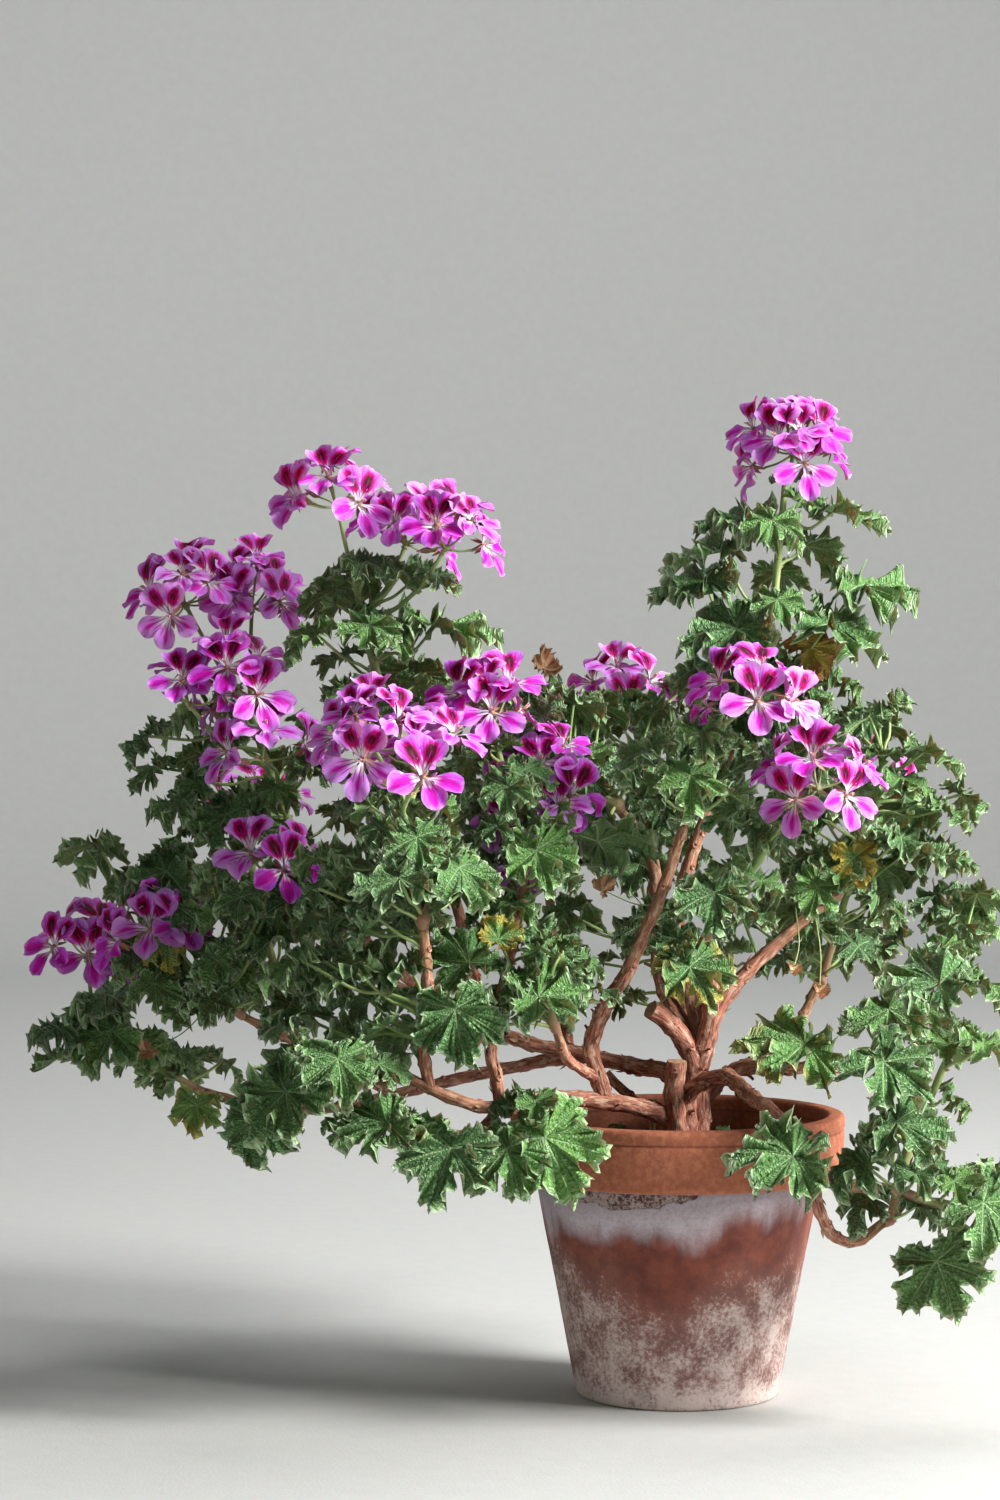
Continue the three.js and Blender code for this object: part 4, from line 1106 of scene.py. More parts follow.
def small_shapes() -> Iterator[Callable[[SmallForm], None]]:
    """Give what builds the repeated shapes.

    Yields:
        A builder for each number in Kind.
    """
    for (first, count), teeth in ((Kind.LEAF.value, 104), (Kind.SMALL_LEAF.value, 70)):
        for number in range(count):
            droop = (0.15, 0.3, 0.45, 0.2, 0.35, 0.6)[number % 6]
            fold = (0.0, 0.12, -0.08, 0.2)[number % 4]
            crisp = (0.085, 0.105, 0.13)[number % 3]
            depth = (0.5, 0.68, 0.42, 0.78, 0.6)[number % 5]
            base = (0.75, 1.0, 0.5)[number % 3]
            yield LeafShape(40 + first + number, droop, fold, crisp, depth, base, teeth).build
    for number in range(3):
        yield LeafShape(80 + number, -0.3, 0.5, 0.08, teeth=44, pleat=0.14).build
    yield SmallForm.calyx
    yield lambda form: form.bud(0.8)
    yield lambda form: form.bud(1.15)
    yield lambda form: form.pointed(1.0, 0.5, Part.BRACT, np.eye(3), curl=-0.35)
    yield SmallForm.stipules
    for number in range(2):
        yield LeafShape(90 + number, -0.8, 0.8, 0.12, teeth=30, part=Part.DRY, pleat=0.2).build
    for number, opening in enumerate((1.0, 1.25, 0.85, 1.1, 0.6, 1.4, 0.95, 0.72)):
        yield FlowerShape(60 + number, opening).build
    yield SmallForm.scar
    peeling = looking(vec(0, -0.15, 1), vec(0, 1, 0.12))
    for curl in (-0.1, -0.35):
        strip = (1.0, 0.42, Part.DRY, peeling, (0, -0.3, 0), curl, Part.BARK)
        yield lambda form, strip=strip: form.pointed(*strip)
    yield SmallForm.stub


# ---- Geometry Nodes


class Nodes:
    """A node tree being made."""

    def __init__(self, tree: bpy.types.NodeTree) -> None:
        """Keep the tree that nodes go into."""
        self.tree = tree

    def node(self, kind: str, links: dict | None = None, **settings: object) -> bpy.types.Node:
        """Add a node.

        Args:
            kind: its type.
            links: a socket, a list of sockets or a value for each input.
            settings: its properties.

        Returns:
            The node.
        """
        node = self.tree.nodes.new(kind)
        for key, value in settings.items():
            setattr(node, key, value)
        for key, given in (links or {}).items():
            for value in given if isinstance(given, list) else [given]:
                value = getattr(value, "socket", value)
                if isinstance(value, Socket):
                    self.tree.links.new(value, node.inputs[key])
                else:
                    node.inputs[key].default_value = value
        return node


class Tree(Nodes):
    """A Geometry Nodes tree being made."""

    def __init__(self, name: str, **inputs: str) -> None:
        """Start a tree that takes and gives geometry.

        Args:
            name: the tree's name.
            inputs: the type of each further input.
        """
        super().__init__(bpy.data.node_groups.new(name, "GeometryNodeTree"))
        self.identifiers: dict[str, str] = {}
        face = self.tree.interface
        for label, kind in {"Geometry": "Geometry", **inputs}.items():
            made = face.new_socket(label, in_out="INPUT", socket_type=f"NodeSocket{kind}")
            self.identifiers[label] = made.identifier
        face.new_socket("Geometry", in_out="OUTPUT", socket_type="NodeSocketGeometry")
        self.given = self.node("NodeGroupInput").outputs

    def geometry(
        self, kind: str, links: dict | None = None, output: str | int = 0, **settings: object
    ) -> Socket:
        """Add a node whose name starts with GeometryNode, and return one of its outputs."""
        return self.node(f"GeometryNode{kind}", links, **settings).outputs[output]

    def named(self, name: str, kind: str = "FLOAT") -> Socket:
        """Return the values of a named attribute."""
        return self.geometry("InputNamedAttribute", {"Name": name}, data_type=kind)

    def joined(self, *geometries: Socket) -> Socket:
        """Return geometries as one, with every repeated shape made real."""
        joined = self.geometry("JoinGeometry", {0: list(geometries)})
        return self.geometry("RealizeInstances", {0: joined})

    def run(self, name: str, mesh: bpy.types.Mesh, **values: object) -> bpy.types.Object:
        """Return an object with the plain mesh that the tree makes.

        Args:
            name: its name.
            mesh: what goes in.
            values: the other inputs.

        Returns:
            The finished object.
        """
        target = stand(name, mesh)
        modifier = target.modifiers.new("grow", "NODES")
        modifier.node_group = self.tree
        for label, value in values.items():
            modifier[self.identifiers[label]] = value
        keep_result(target, modifier)
        return target


def stand(name: str, data: object) -> bpy.types.Object:
    """Return a new object that stands in the scene.

    Args:
        name: its name.
        data: its mesh, camera or light.

    Returns:
        The object.
    """
    made = bpy.data.objects.new(name, data)
    bpy.context.scene.collection.objects.link(made)
    return made


def dress(piece: bpy.types.Object, slot: str, *nodes: str) -> None:
    """Fix a finished piece to the body and hide the solids that it replaces.

    Args:
        piece: the object.
        slot: not used.
        nodes: the solids that it replaces.
    """
    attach(piece, BODY)
    if nodes:
        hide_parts(*nodes)
    LOG.info("%s: %d faces", piece.name, len(piece.data.polygons))


def keep_result(target: bpy.types.Object, modifier: bpy.types.Modifier) -> None:
    """Replace an object's mesh by what its modifier makes of it.

    Args:
        target: the object.
        modifier: its modifier.
    """
    bpy.context.view_layer.update()
    graph = bpy.context.evaluated_depsgraph_get()
    made, old = bpy.data.meshes.new_from_object(target.evaluated_get(graph)), target.data
    target.modifiers.remove(modifier)
    target.data = made
    bpy.data.meshes.remove(old)


class GrowthTree(Tree):
    """Sets repeated shapes on marks, sweeps stalks along curves and paints every part."""

    STALK_SIDES = 7

    def __init__(self, finishes: dict[Part, Material]) -> None:
        """Build the repeated shapes and the tree.

        Args:
            finishes: the material of each part.
        """
        self.shapes = bpy.data.collections.new("repeated_shapes")
        for number, build in enumerate(small_shapes()):
            form, name = SmallForm(), f"shape_{number:02d}"
            build(form)
            self.shapes.objects.link(bpy.data.objects.new(name, form.mesh(name, 1.0)))
        super().__init__("growth", Marks="Object", Shapes="Collection", Stalks="Object")
        marks = self.geometry("ObjectInfo", {"Object": self.given["Marks"]}, "Geometry")
        shapes = self.geometry("CollectionInfo", {
            "Collection": self.given["Shapes"], "Separate Children": True, "Reset Children": True})
        turned = self.node("FunctionNodeEulerToRotation", {0: self.named("turn", "FLOAT_VECTOR")})
        placed = self.geometry("InstanceOnPoints", {
            "Points": marks, "Instance": shapes, "Pick Instance": True,
            "Instance Index": self.named("shape", "INT"), "Rotation": turned.outputs[0],
            "Scale": self.named("size")})
        stalks = self.geometry("ObjectInfo", {"Object": self.given["Stalks"]}, "Geometry")
        circle = {"Resolution": self.STALK_SIDES, "Radius": MM}
        swept = self.geometry("CurveToMesh", {
            "Curve": stalks, "Scale": self.geometry("InputRadius"),
            "Profile Curve": self.geometry("CurvePrimitiveCircle", circle), "Fill Caps": True})
        swept = self.geometry("SetShadeSmooth", {"Geometry": swept})
        for label, value, kind, domain in (
            ("part", Part.STEM.value, "INT", "FACE"), ("tone", 1.0, "FLOAT", "POINT"),
        ):
            links = {"Geometry": swept, "Name": label, "Value": value}
            swept = self.geometry("StoreNamedAttribute", links, data_type=kind, domain=domain)
        grown = self.joined(self.given["Geometry"], placed, swept)
        part = self.named("part", "INT")
        for key, material in finishes.items():
            same = self.node(
                "FunctionNodeCompare", {2: part, 3: key.value}, data_type="INT", operation="EQUAL")
            grown = self.geometry("SetMaterial", {
                "Geometry": grown, "Selection": same.outputs[0], "Material": material})
        self.node("NodeGroupOutput", {0: grown})

    def clear(self) -> None:
        """Remove the repeated shapes once nothing grows from them any more."""
        for shape in list(self.shapes.objects):
            bpy.data.meshes.remove(shape.data)
        bpy.data.collections.remove(self.shapes)


class CrumbTree(Tree):
    """Scatters crumbs over the upward faces of a surface."""

    DENSITY = 24000.0
    SIZES = (0.5 * MM, 2.4 * MM)
    SEED = 5

    def __init__(self, material: Material) -> None:
        """Build the tree.

        Args:
            material: the finish of the surface and its crumbs.
        """
        super().__init__("crumbs")
        split = self.node("ShaderNodeSeparateXYZ", {0: self.geometry("InputNormal")})
        facing = self.node("FunctionNodeCompare", {0: split.outputs["Z"], 1: 0.7})
        spread = self.geometry("DistributePointsOnFaces", {
            "Mesh": self.given["Geometry"], "Selection": facing.outputs[0],
            "Density": self.DENSITY, "Seed": self.SEED})
        links = {2: self.SIZES[0], 3: self.SIZES[1], "Seed": self.SEED}
        size = self.node("FunctionNodeRandomValue", links).outputs[1]
        links = {0: (0.0, 0.0, 0.0), 1: (FULL_TURN,) * 3, "Seed": self.SEED}
        turn = self.node("FunctionNodeRandomValue", links, data_type="FLOAT_VECTOR")
        turned = self.node("FunctionNodeEulerToRotation", {0: turn.outputs[0]})
        links = {0: (1.0, 0.75, 0.6), "Scale": size}
        flat = self.node("ShaderNodeVectorMath", links, operation="SCALE")
        ball = self.geometry("MeshIcoSphere", {"Radius": 1.0, "Subdivisions": 1})
        placed = self.geometry("InstanceOnPoints", {
            "Points": spread, "Instance": ball, "Rotation": turned.outputs[0],
            "Scale": flat.outputs[0]})
        links = {"Geometry": self.joined(self.given["Geometry"], placed), "Material": material}
        self.node("NodeGroupOutput", {0: self.geometry("SetMaterial", links)})


class Piece:
    """A piece being made: its own mesh, marks for repeated shapes, and thin stalks."""

    def __init__(self, name: str) -> None:
        """Start an empty piece.

        Args:
            name: its name.
        """
        self.name = name
        self.form = Form()
        self.marks: list[tuple] = []
        self.curve = bpy.data.curves.new("stalks", "CURVE")
        self.curve.dimensions = "3D"

    def mark(
        self, place: Array, axes: Array, size: float, shape: int, age: float = 0.5,
        wither: float = 0.0,
    ) -> None:
        """Mark a repeated shape's place, axes, unit, number, and age and wither from 0 to 1."""
        turn = Matrix(axes.tolist()).to_euler()
        self.marks.append((tuple(place * MM), tuple(turn), size * MM, shape, age, wither))

    def stalk(self, points: Iterable[Point], start: float, end: float, pitch: float = 3.0) -> None:
        """Add a stalk.

        Args:
            points: what it goes through.
            start: its first radius.
            end: its last radius.
            pitch: the distance between its rings.
        """
        points, shares = Route(points).sampled(pitch)
        spline = self.curve.splines.new("POLY")
        spline.points.add(len(points) - 1)
        for target, point, share in zip(spline.points, points, shares):
            target.co = (*(point * MM), 1.0)
            thicker = 0.35 * math.exp(-share / 0.05) + 0.2 * math.exp(-(1 - share) / 0.06)
            target.radius = (start + (end - start) * share) * (1 + thicker)

    def grow(self, growth: GrowthTree, slot: str, *nodes: str) -> None:
        """Grow the piece and fix it to the body.

        Args:
            growth: what grows it.
            slot: not used; it is only passed on to dress.
            nodes: the solids that it replaces.
        """
        mesh = bpy.data.meshes.new("marks")
        mesh.from_pydata([row[0] for row in self.marks], [], [])
        turn = mesh.attributes.new("turn", "FLOAT_VECTOR", "POINT")
        turn.data.foreach_set("vector", [value for row in self.marks for value in row[1]])
        columns = (("size", "FLOAT"), ("shape", "INT"), ("age", "FLOAT"), ("wither", "FLOAT"))
        for column, (label, kind) in enumerate(columns, 2):
            attribute = mesh.attributes.new(label, kind, "POINT")
            attribute.data.foreach_set("value", [row[column] for row in self.marks])
        marks = bpy.data.objects.new("marks", mesh)
        stalks = bpy.data.objects.new("stalks", self.curve)
        given = {"Marks": marks, "Shapes": growth.shapes, "Stalks": stalks}
        piece = growth.run(self.name, self.form.mesh(self.name), **given)
        bpy.data.meshes.remove(mesh)
        bpy.data.curves.remove(self.curve)
        dress(piece, slot, *nodes)


# ---- finishes


class Value:
    """A number or colour that varies over a surface."""

    def __init__(self, paint: "Paint", socket: Socket) -> None:
        """Keep the material and the node output that gives the value."""
        self.paint = paint
        self.socket = socket

    def ramp(self, low: float, high: float) -> "Value":
        """Return 0 to 1 as this value goes from low to high, which may be downwards."""
        links = {"Value": self, "From Min": low, "From Max": high}
        return self.paint.value("MapRange", links, interpolation_type="SMOOTHSTEP")


Operand = Value | float


def reckoning(operation: str) -> Callable[..., Value]:
    """Return a method of Value that adds a calculation."""
    return lambda value, *others: value.paint.math(operation, value, *others)


Value.__add__ = reckoning("ADD")
Value.__sub__ = reckoning("SUBTRACT")
Value.__mul__ = reckoning("MULTIPLY")
Value.__truediv__ = reckoning("DIVIDE")
Value.__abs__ = reckoning("ABSOLUTE")
Value.__rsub__ = lambda value, other: value.paint.math("SUBTRACT", other, value)


class Paint(Nodes):
    """A procedural material being made."""

    def __init__(self, name: str) -> None:
        """Start a material with the usual shader.

        Args:
            name: the material's name.
        """
        self.material = bpy.data.materials.new(name)
        self.material.use_nodes = True
        super().__init__(self.material.node_tree)
        self.place = self.value("TexCoord", output="Object")

    def value(
        self, kind: str, links: dict | None = None, output: str | int = 0, **settings: object
    ) -> Value:
        """Add a node whose name starts with ShaderNode, and return one of its outputs."""
        return Value(self, self.node(f"ShaderNode{kind}", links, **settings).outputs[output])

    def attribute(self, name: str, output: str = "Fac") -> Value:
        """Return a named attribute of the mesh."""
        return self.value("Attribute", output=output, attribute_name=name)

    def split(self, vector: Value) -> list[Value]:
        """Return a vector's three numbers."""
        return [Value(self, out) for out in self.node("ShaderNodeSeparateXYZ", {0: vector}).outputs]

    def math(self, operation: str, *values: Operand) -> Value:
        """Return the result of a calculation on one or two numbers."""
        return self.value("Math", dict(enumerate(values)), operation=operation)

    def noise(
        self, scale: float, detail: float = 3.0, roughness: float = 0.55,
        stretch: Point | None = None, place: Value | None = None,
    ) -> Value:
        """Return smooth random values.

        Args:
            scale: how many features there are to a unit.
            detail: how many finer layers there are.
            roughness: how strong those are.
            stretch: how much finer it is on each axis.
            place: where it is read, if not in the object's space.

        Returns:
            The values.
        """
        place = place or self.place
        if stretch:
            place = self.value("Mapping", {"Vector": place, "Scale": stretch})
        links = {"Vector": place, "Scale": scale, "Detail": detail, "Roughness": roughness}
        return self.value("TexNoise", links)

    def mix(self, share: Operand, first: "Value | Colour", second: "Value | Colour") -> Value:
        """Return a colour between two."""
        first, second = (c if isinstance(c, Value) else (*c, 1.0) for c in (first, second))
        return self.value("Mix", {0: share, 6: first, 7: second}, 2, data_type="RGBA")

    def coat(self, share: Operand, colour: "Value | Colour") -> None:
        """Lay a colour over what the surface has so far."""
        self.colour = self.mix(share, self.colour, colour)

    def finish(
        self, roughness: Value, height: Value, depth: float, strength: float, **constants: float
    ) -> Material:
        """Finish the shader with the colour so far.

        Args:
            roughness: its roughness.
            height: the height of its relief.
            depth: how deep that is, in metres.
            strength: how strongly it shows.
            constants: the shader's other sockets, with _ for a space.

        Returns:
            The material.
        """
        bump = self.value("Bump", {"Height": height, "Distance": depth, "Strength": strength})
        inputs = self.tree.nodes["Principled BSDF"].inputs
        for name, value in (("Base Color", self.colour), ("Roughness", roughness), ("Normal", bump)):
            self.tree.links.new(value.socket, inputs[name])
        for name, value in constants.items():
            inputs[name.replace("_", " ")].default_value = value
        return self.material


@dataclass(frozen=True)
class ClayFinish:
    """Weathered terracotta with salt bloom under the rim and lichen on the lower body."""

    clay: Colour = (0.3, 0.088, 0.055)
    # clay_dark also gives the painted shade under the rim and in the rim's groove.
    clay_dark: Colour = (0.15, 0.042, 0.032)
    rim: Colour = (0.38, 0.12, 0.064)
    clay_bright: Colour = (0.54, 0.2, 0.105)
    salt: Colour = (0.94, 0.87, 0.97)
    haze: Colour = (0.44, 0.31, 0.28)
    lichen: Colour = (0.8, 0.67, 0.63)
    # crust is the dark flaked crust's colour and also the painted shade on the inside wall.
    crust: Colour = (0.08, 0.032, 0.028)
    crust_place: Point = (-0.042, -0.084, 0.146)
    ledge: float = 0.145
    groove: float = 0.1755
    salt_low: float = 0.122
    lichen_high: float = 0.095

    def build(self) -> Material:
        """Make the material.

        Returns:
            The material.
        """
        paint = Paint("clay")
        x, y, z = paint.split(paint.place)
        broad = paint.noise(14)
        blotch = paint.noise(60, 5, 0.65)
        fine = paint.noise(260, 4)
        speckle = paint.noise(380, 5, 0.75)
        drips = paint.noise(38, 4, 0.6, (1, 1, 0.22))
        above = z.ramp(self.ledge - 0.001, self.ledge + 0.0005)
        below = 1 - above
        paint.colour = paint.mix(blotch.ramp(0.3, 0.72), self.clay_dark, self.clay)
        rim = paint.mix(fine.ramp(0.35, 0.75), self.rim, self.clay_bright)
        rim = paint.mix(drips.ramp(0.5, 0.75) * 0.5, rim, self.clay_dark)
        paint.coat(above * 0.9, rim)
        height = z - abs(x) * 0.5 - broad * 0.09 + 0.045
        weathered = height.ramp(self.lichen_high, self.lichen_high - 0.07)
        cover = weathered * 0.36 + blotch * 0.8 + speckle * 0.9 + z.ramp(0.022, 0.004) * 0.14
        mottled = cover.ramp(1.04, 1.4) * weathered.ramp(0.0, 0.35)
        paint.coat(weathered * 0.32, self.haze)
        paint.coat(mottled * 0.85, self.lichen)
        level = z + drips * 0.036 + broad * 0.05 - 0.043 - x * 0.09
        salted = level.ramp(self.salt_low - 0.014, self.salt_low + 0.012) * below
        salted = salted * (speckle.ramp(0.32, 0.6) * 0.3 + 0.68)
        paint.coat(salted, self.salt)
        from_x, from_y, from_z = (v - place for v, place in zip((x, y, z), self.crust_place))
        apart = from_x * from_x + from_z * from_z * 13.0 + from_y * from_y * 0.36
        near = paint.math("SQRT", apart) + blotch * 0.05 - 0.025
        flaked = near.ramp(0.05, 0.046) * below
        crust = paint.mix((speckle + blotch * 0.7).ramp(0.76, 0.92), self.crust, self.lichen)
        paint.coat(flaked, crust)
        # Painted shade: a dark band just below the rim's ledge, where the overhang shades the body.
        shade_under_rim = z.ramp(self.ledge - 0.005, self.ledge) * below
        paint.coat(shade_under_rim * 0.6, self.clay_dark)
        # Painted shade: a dark line along the groove in the rim.
        groove_shade = abs(z - self.groove).ramp(0.0012, 0.0002)
        paint.coat(groove_shade * 0.55, self.clay_dark)
        # Painted shade: the inside wall above the soil, up to just under the rim's top, is darkened
        # with the crust's colour.
        inside = (x * x + y * y).ramp(0.0098, 0.0092) * z.ramp(0.1, 0.14) * z.ramp(0.184, 0.178)
        paint.coat(inside * 0.6, self.crust)
        relief = paint.noise(1400, 2) * 0.4 + fine + (mottled + salted) * 0.4 - flaked * 1.5
        return paint.finish(fine * 0.18 + 0.72, relief, 0.0009, 0.7, Specular_IOR_Level=0.3)


@dataclass(frozen=True)
class SoilFinish:
    """Dark potting soil with lighter grains."""

    dark: Colour = (0.025, 0.015, 0.01)
    light: Colour = (0.12, 0.072, 0.045)

    def build(self) -> Material:
        """Make the material.

        Returns:
            The material.
        """
        paint = Paint("soil")
        fine = paint.noise(900)
        both = paint.noise(160, 5, 0.7) * (fine * 0.8 + 0.6)
        paint.colour = paint.mix(both.ramp(0.35, 0.75), self.dark, self.light)
        return paint.finish(fine * 0.1 + 0.87, both, 0.0015, 0.9, Specular_IOR_Level=0.25)


@dataclass(frozen=True)
class BarkFinish:
    """Fibrous reddish-brown bark, or the paler wood of a cut."""

    name: str = "bark"
    base: Colour = (0.5, 0.205, 0.135)
    dark: Colour = (0.15, 0.046, 0.031)
    pale: Colour = (0.75, 0.51, 0.37)
    young: Colour = (0.36, 0.27, 0.12)

    def build(self) -> Material:
        """Make the material.

        Returns:
            The material.
        """
        paint = Paint(self.name)
        grain = paint.attribute("pattern", "Vector")
        fibre = paint.noise(0.6, 5, 0.7, (1, 1, 0.14), grain)
        flaky = paint.noise(0.22, 4, 0.65, (1.4, 1.4, 0.5), grain)
        fine = paint.noise(900)
        paint.colour = paint.mix(fibre.ramp(0.36, 0.6), self.dark, self.base)
        paint.coat(flaky.ramp(0.5, 0.64) * 0.7, self.pale)
        paint.coat(paint.attribute("tone") * 0.55, self.young)
        relief = fibre + flaky * 0.6 + fine * 0.3
        return paint.finish(fine * 0.2 + 0.62, relief, 0.001, 0.9, Specular_IOR_Level=0.3)


@dataclass(frozen=True)
class StemFinish:
    """Downy green stems, brown where they leave the wood."""

    green: Colour = (0.2, 0.33, 0.085)
    pale: Colour = (0.42, 0.52, 0.2)
    brown: Colour = (0.37, 0.19, 0.11)

    def build(self) -> Material:
        """Make the material.

        Returns:
            The material.
        """
        paint = Paint("green_stem")
        broad = paint.noise(30)
        fine = paint.noise(1500, 2)
        paint.colour = paint.mix(broad.ramp(0.35, 0.68), self.green, self.pale)
        old = (paint.attribute("tone") + (broad - 0.5) * 0.5).ramp(0.5, 0.08)
        paint.coat(old, self.brown)
        return paint.finish(fine * 0.15 + 0.45, fine, 0.0002, 0.5, Sheen_Weight=0.2)


@dataclass(frozen=True)
class LeafFinish:
    """The face or the back of a leaf: branching veins, a pale hairy margin, and yellowing."""

    name: str
    blade: Colour
    young: Colour
    vein: Colour
    vein_share: float
    # A pale frost for the raised blade: partly the leaf's hairs and partly a painted highlight.
    frost: Colour = (0.42, 0.68, 0.38)
    frost_share: float = 1.0
    margin: Colour = (0.56, 0.7, 0.44)
    margin_share: float = 0.75
    yellow: Colour = (0.58, 0.46, 0.08)
    brown: Colour = (0.5, 0.2, 0.08)
    roughness: float = 0.32
    sunk: float = 1.0
    relief: float = 0.0017

    def build(self) -> Material:
        """Make the material.

        Returns:
            The material.
        """
        paint = Paint(self.name)
        pattern = paint.attribute("pattern", "Vector")
        x, y, share = paint.split(pattern)
        turn = abs(paint.math("ARCTAN2", x, y))
        for past, step in ((27, 54), (83, 59)):
            beyond = paint.math("GREATER_THAN", turn, math.radians(past))
            local = (turn if past == 27 else local) - beyond * math.radians(step)
        reach = paint.math("SQRT", x * x + y * y)
        across = abs(reach * paint.math("SINE", local))
        along = reach * paint.math("COSINE", local) - across * 0.8
        main = (1 - across / (0.024 - reach * 0.013)).ramp(0.0, 0.7)
        wave = paint.math("PINGPONG", along * 11.0, 0.5)
        side = wave.ramp(0.08, 0.0) * across.ramp(0.36, 0.05)
        swell = wave.ramp(0.0, 0.45) * across.ramp(0.0, 0.06)
        links = {"Vector": pattern, "Scale": 13.0}
        edge = paint.value("TexVoronoi", links, "Distance", feature="DISTANCE_TO_EDGE")
        puckers = edge.ramp(0.0, 0.3)
        wither = paint.attribute("wither")
        broad = paint.noise(50)
        fine = paint.noise(520, 4)
        paint.colour = paint.mix(paint.attribute("age"), self.young, self.blade)
        shade = tuple(0.45 * level for level in self.blade)
        paint.coat(broad.ramp(0.4, 0.75) * 0.35, shade)
        raised = swell * 0.35 + puckers * 0.4
        # Pale frost on the raised blade between the veins and on the puckers: partly the leaf's hairs
        # and partly a painted highlight where the bulges catch the light.
        paint.coat(fine.ramp(0.32, 0.68) * raised * self.frost_share, self.frost)
        veined = paint.math("MAXIMUM", main, side * 0.5)
        paint.coat(veined * self.vein_share, self.vein)
        paint.coat(share.ramp(0.88, 1.0) * self.margin_share, self.margin)
        turned = wither * 1.4 + share * 0.5 + broad * 0.7 - 1.0
        some = wither.ramp(0.0, 0.1)
        paint.coat(turned.ramp(0.0, 0.3) * some, self.yellow)
        paint.coat(turned.ramp(0.45, 0.75) * some, self.brown)
        relief = fine * 0.4 + (swell * 0.3 + puckers * 0.7 - veined * 0.8) * self.sunk
        return paint.finish(
            fine * 0.2 + self.roughness, relief, self.relief, 0.85, Specular_IOR_Level=0.36,
            Subsurface_Weight=0.1, Subsurface_Scale=0.002, Sheen_Weight=0.03, Sheen_Roughness=0.45,
        )


@dataclass(frozen=True)
class PetalFinish:
    """The face of the petals: a dark feathered blotch on the upper two and a spot on the rest."""

    lilac: Colour = (0.6, 0.04, 0.68)
    light: Colour = (0.68, 0.12, 0.76)
    magenta: Colour = (0.57, 0.008, 0.42)
    crimson: Colour = (0.34, 0.0, 0.1)
    maroon: Colour = (0.045, 0.0, 0.012)
    edge: Colour = (0.74, 0.36, 0.82)
    white: Colour = (0.84, 0.74, 0.84)
    vein: Colour = (0.36, 0.003, 0.18)

    def build(self) -> Material:
        """Make the material.

        Returns:
            The material.
        """
        paint = Paint("petal")
        x, y, lower = paint.split(paint.attribute("pattern", "Vector"))
        fine = paint.noise(600)
        fan = x / (y + 0.22)
        spread = paint.value("CombineXYZ", {0: fan * 16.0, 1: y, 2: lower})
        streaks = paint.noise(1.0, 3, 0.55, (1, 2.2, 5), spread)
        ragged = streaks * 0.5 - 0.25
        age = paint.attribute("age")
        paint.colour = paint.mix(streaks.ramp(0.3, 0.7), self.lilac, self.light)
        paint.coat(age * (lower * 0.35 + 0.3), self.edge)
        rim = (abs(x) * 2.3 + y * 0.3 + ragged * 0.6 + age * 0.3).ramp(0.66, 1.12)
        rim = paint.math("MAXIMUM", rim, (y + ragged * 0.3 + age * 0.08).ramp(0.82, 1.04))
        paint.coat(rim * 0.9, self.edge)
        dy = (y - lower * 0.08 - 0.54) * 1.9
        dx = x * (lower * 2.2 + 3.6)
        away = paint.math("SQRT", dx * dx + dy * dy) + ragged * 0.9 + (lower * 0.3 + 0.1) * age
        paint.coat(away.ramp(0.92, 0.5), self.magenta)
        paint.coat((y + ragged * 0.5).ramp(0.42, 0.2), self.white)
        upper = 1 - lower
        paint.coat(away.ramp(0.74, 0.5) * upper, self.crimson)
        paint.coat((away + age * 0.15).ramp(0.52, 0.36) * upper, self.maroon)
        lines = paint.math("PINGPONG", fan * 5.5, 0.5).ramp(0.2, 0.06)
        lines = lines * y.ramp(0.66, 0.4) * y.ramp(0.05, 0.2)
        paint.coat(lines * 0.85, self.vein)
        return paint.finish(
            fine * 0.15 + 0.5, streaks + fine * 0.4, 0.0004, 0.6, Specular_IOR_Level=0.12,
            Subsurface_Weight=0.3, Subsurface_Scale=0.003,
        )


@dataclass(frozen=True)
class PlainFinish:
    """A thin part of one hue: the backs of petals, bracts, filaments or dried bits."""

    name: str
    first: Colour
    second: Colour
    scale: float = 120.0
    roughness: float = 0.4

    def build(self) -> Material:
        """Make the material.

        Returns:
            The material.
        """
        paint = Paint(self.name)
        broad = paint.noise(self.scale, 4)
        fine = paint.noise(self.scale * 7)
        paint.colour = paint.mix(broad.ramp(0.32, 0.68), self.first, self.second)
        return paint.finish(
            fine * 0.2 + self.roughness, broad + fine, 0.0003, 0.5,
            Subsurface_Weight=0.1, Subsurface_Scale=0.002,
        )


def plant_finishes() -> dict[Part, Material]:
    """Make the plant's materials.

    Returns:
        The material of every part.
    """
    finishes = {
        Part.LEAF_TOP: LeafFinish(
            "leaf_face", (0.043, 0.15, 0.03), (0.16, 0.38, 0.05), (0.4, 0.6, 0.3), 0.8),
        Part.LEAF_UNDER: LeafFinish(
            "leaf_back", (0.12, 0.23, 0.08), (0.22, 0.4, 0.11), (0.42, 0.54, 0.28), 0.9,
            frost_share=0.5, margin_share=0.5, roughness=0.45, sunk=-1.0, relief=0.0012),
        Part.STEM: StemFinish(),
        Part.BRACT: PlainFinish("bract", (0.62, 0.28, 0.17), (0.5, 0.42, 0.2), 300),
        Part.PETAL: PetalFinish(),
        Part.PETAL_BACK: PlainFinish("petal_back", (0.6, 0.08, 0.62), (0.76, 0.26, 0.78), 90),
        Part.STAMEN: PlainFinish("stamen", (0.85, 0.62, 0.75), (0.62, 0.22, 0.1), 900),
        Part.DRY: PlainFinish("dried", (0.4, 0.2, 0.11), (0.62, 0.4, 0.24), 220, 0.65),
        Part.BARK: BarkFinish(),
        Part.CUT: BarkFinish("cut_wood", (0.5, 0.3, 0.18), (0.26, 0.13, 0.08), (0.62, 0.44, 0.3)),
    }
    return {part: finish.build() for part, finish in finishes.items()}


# ---- the pieces


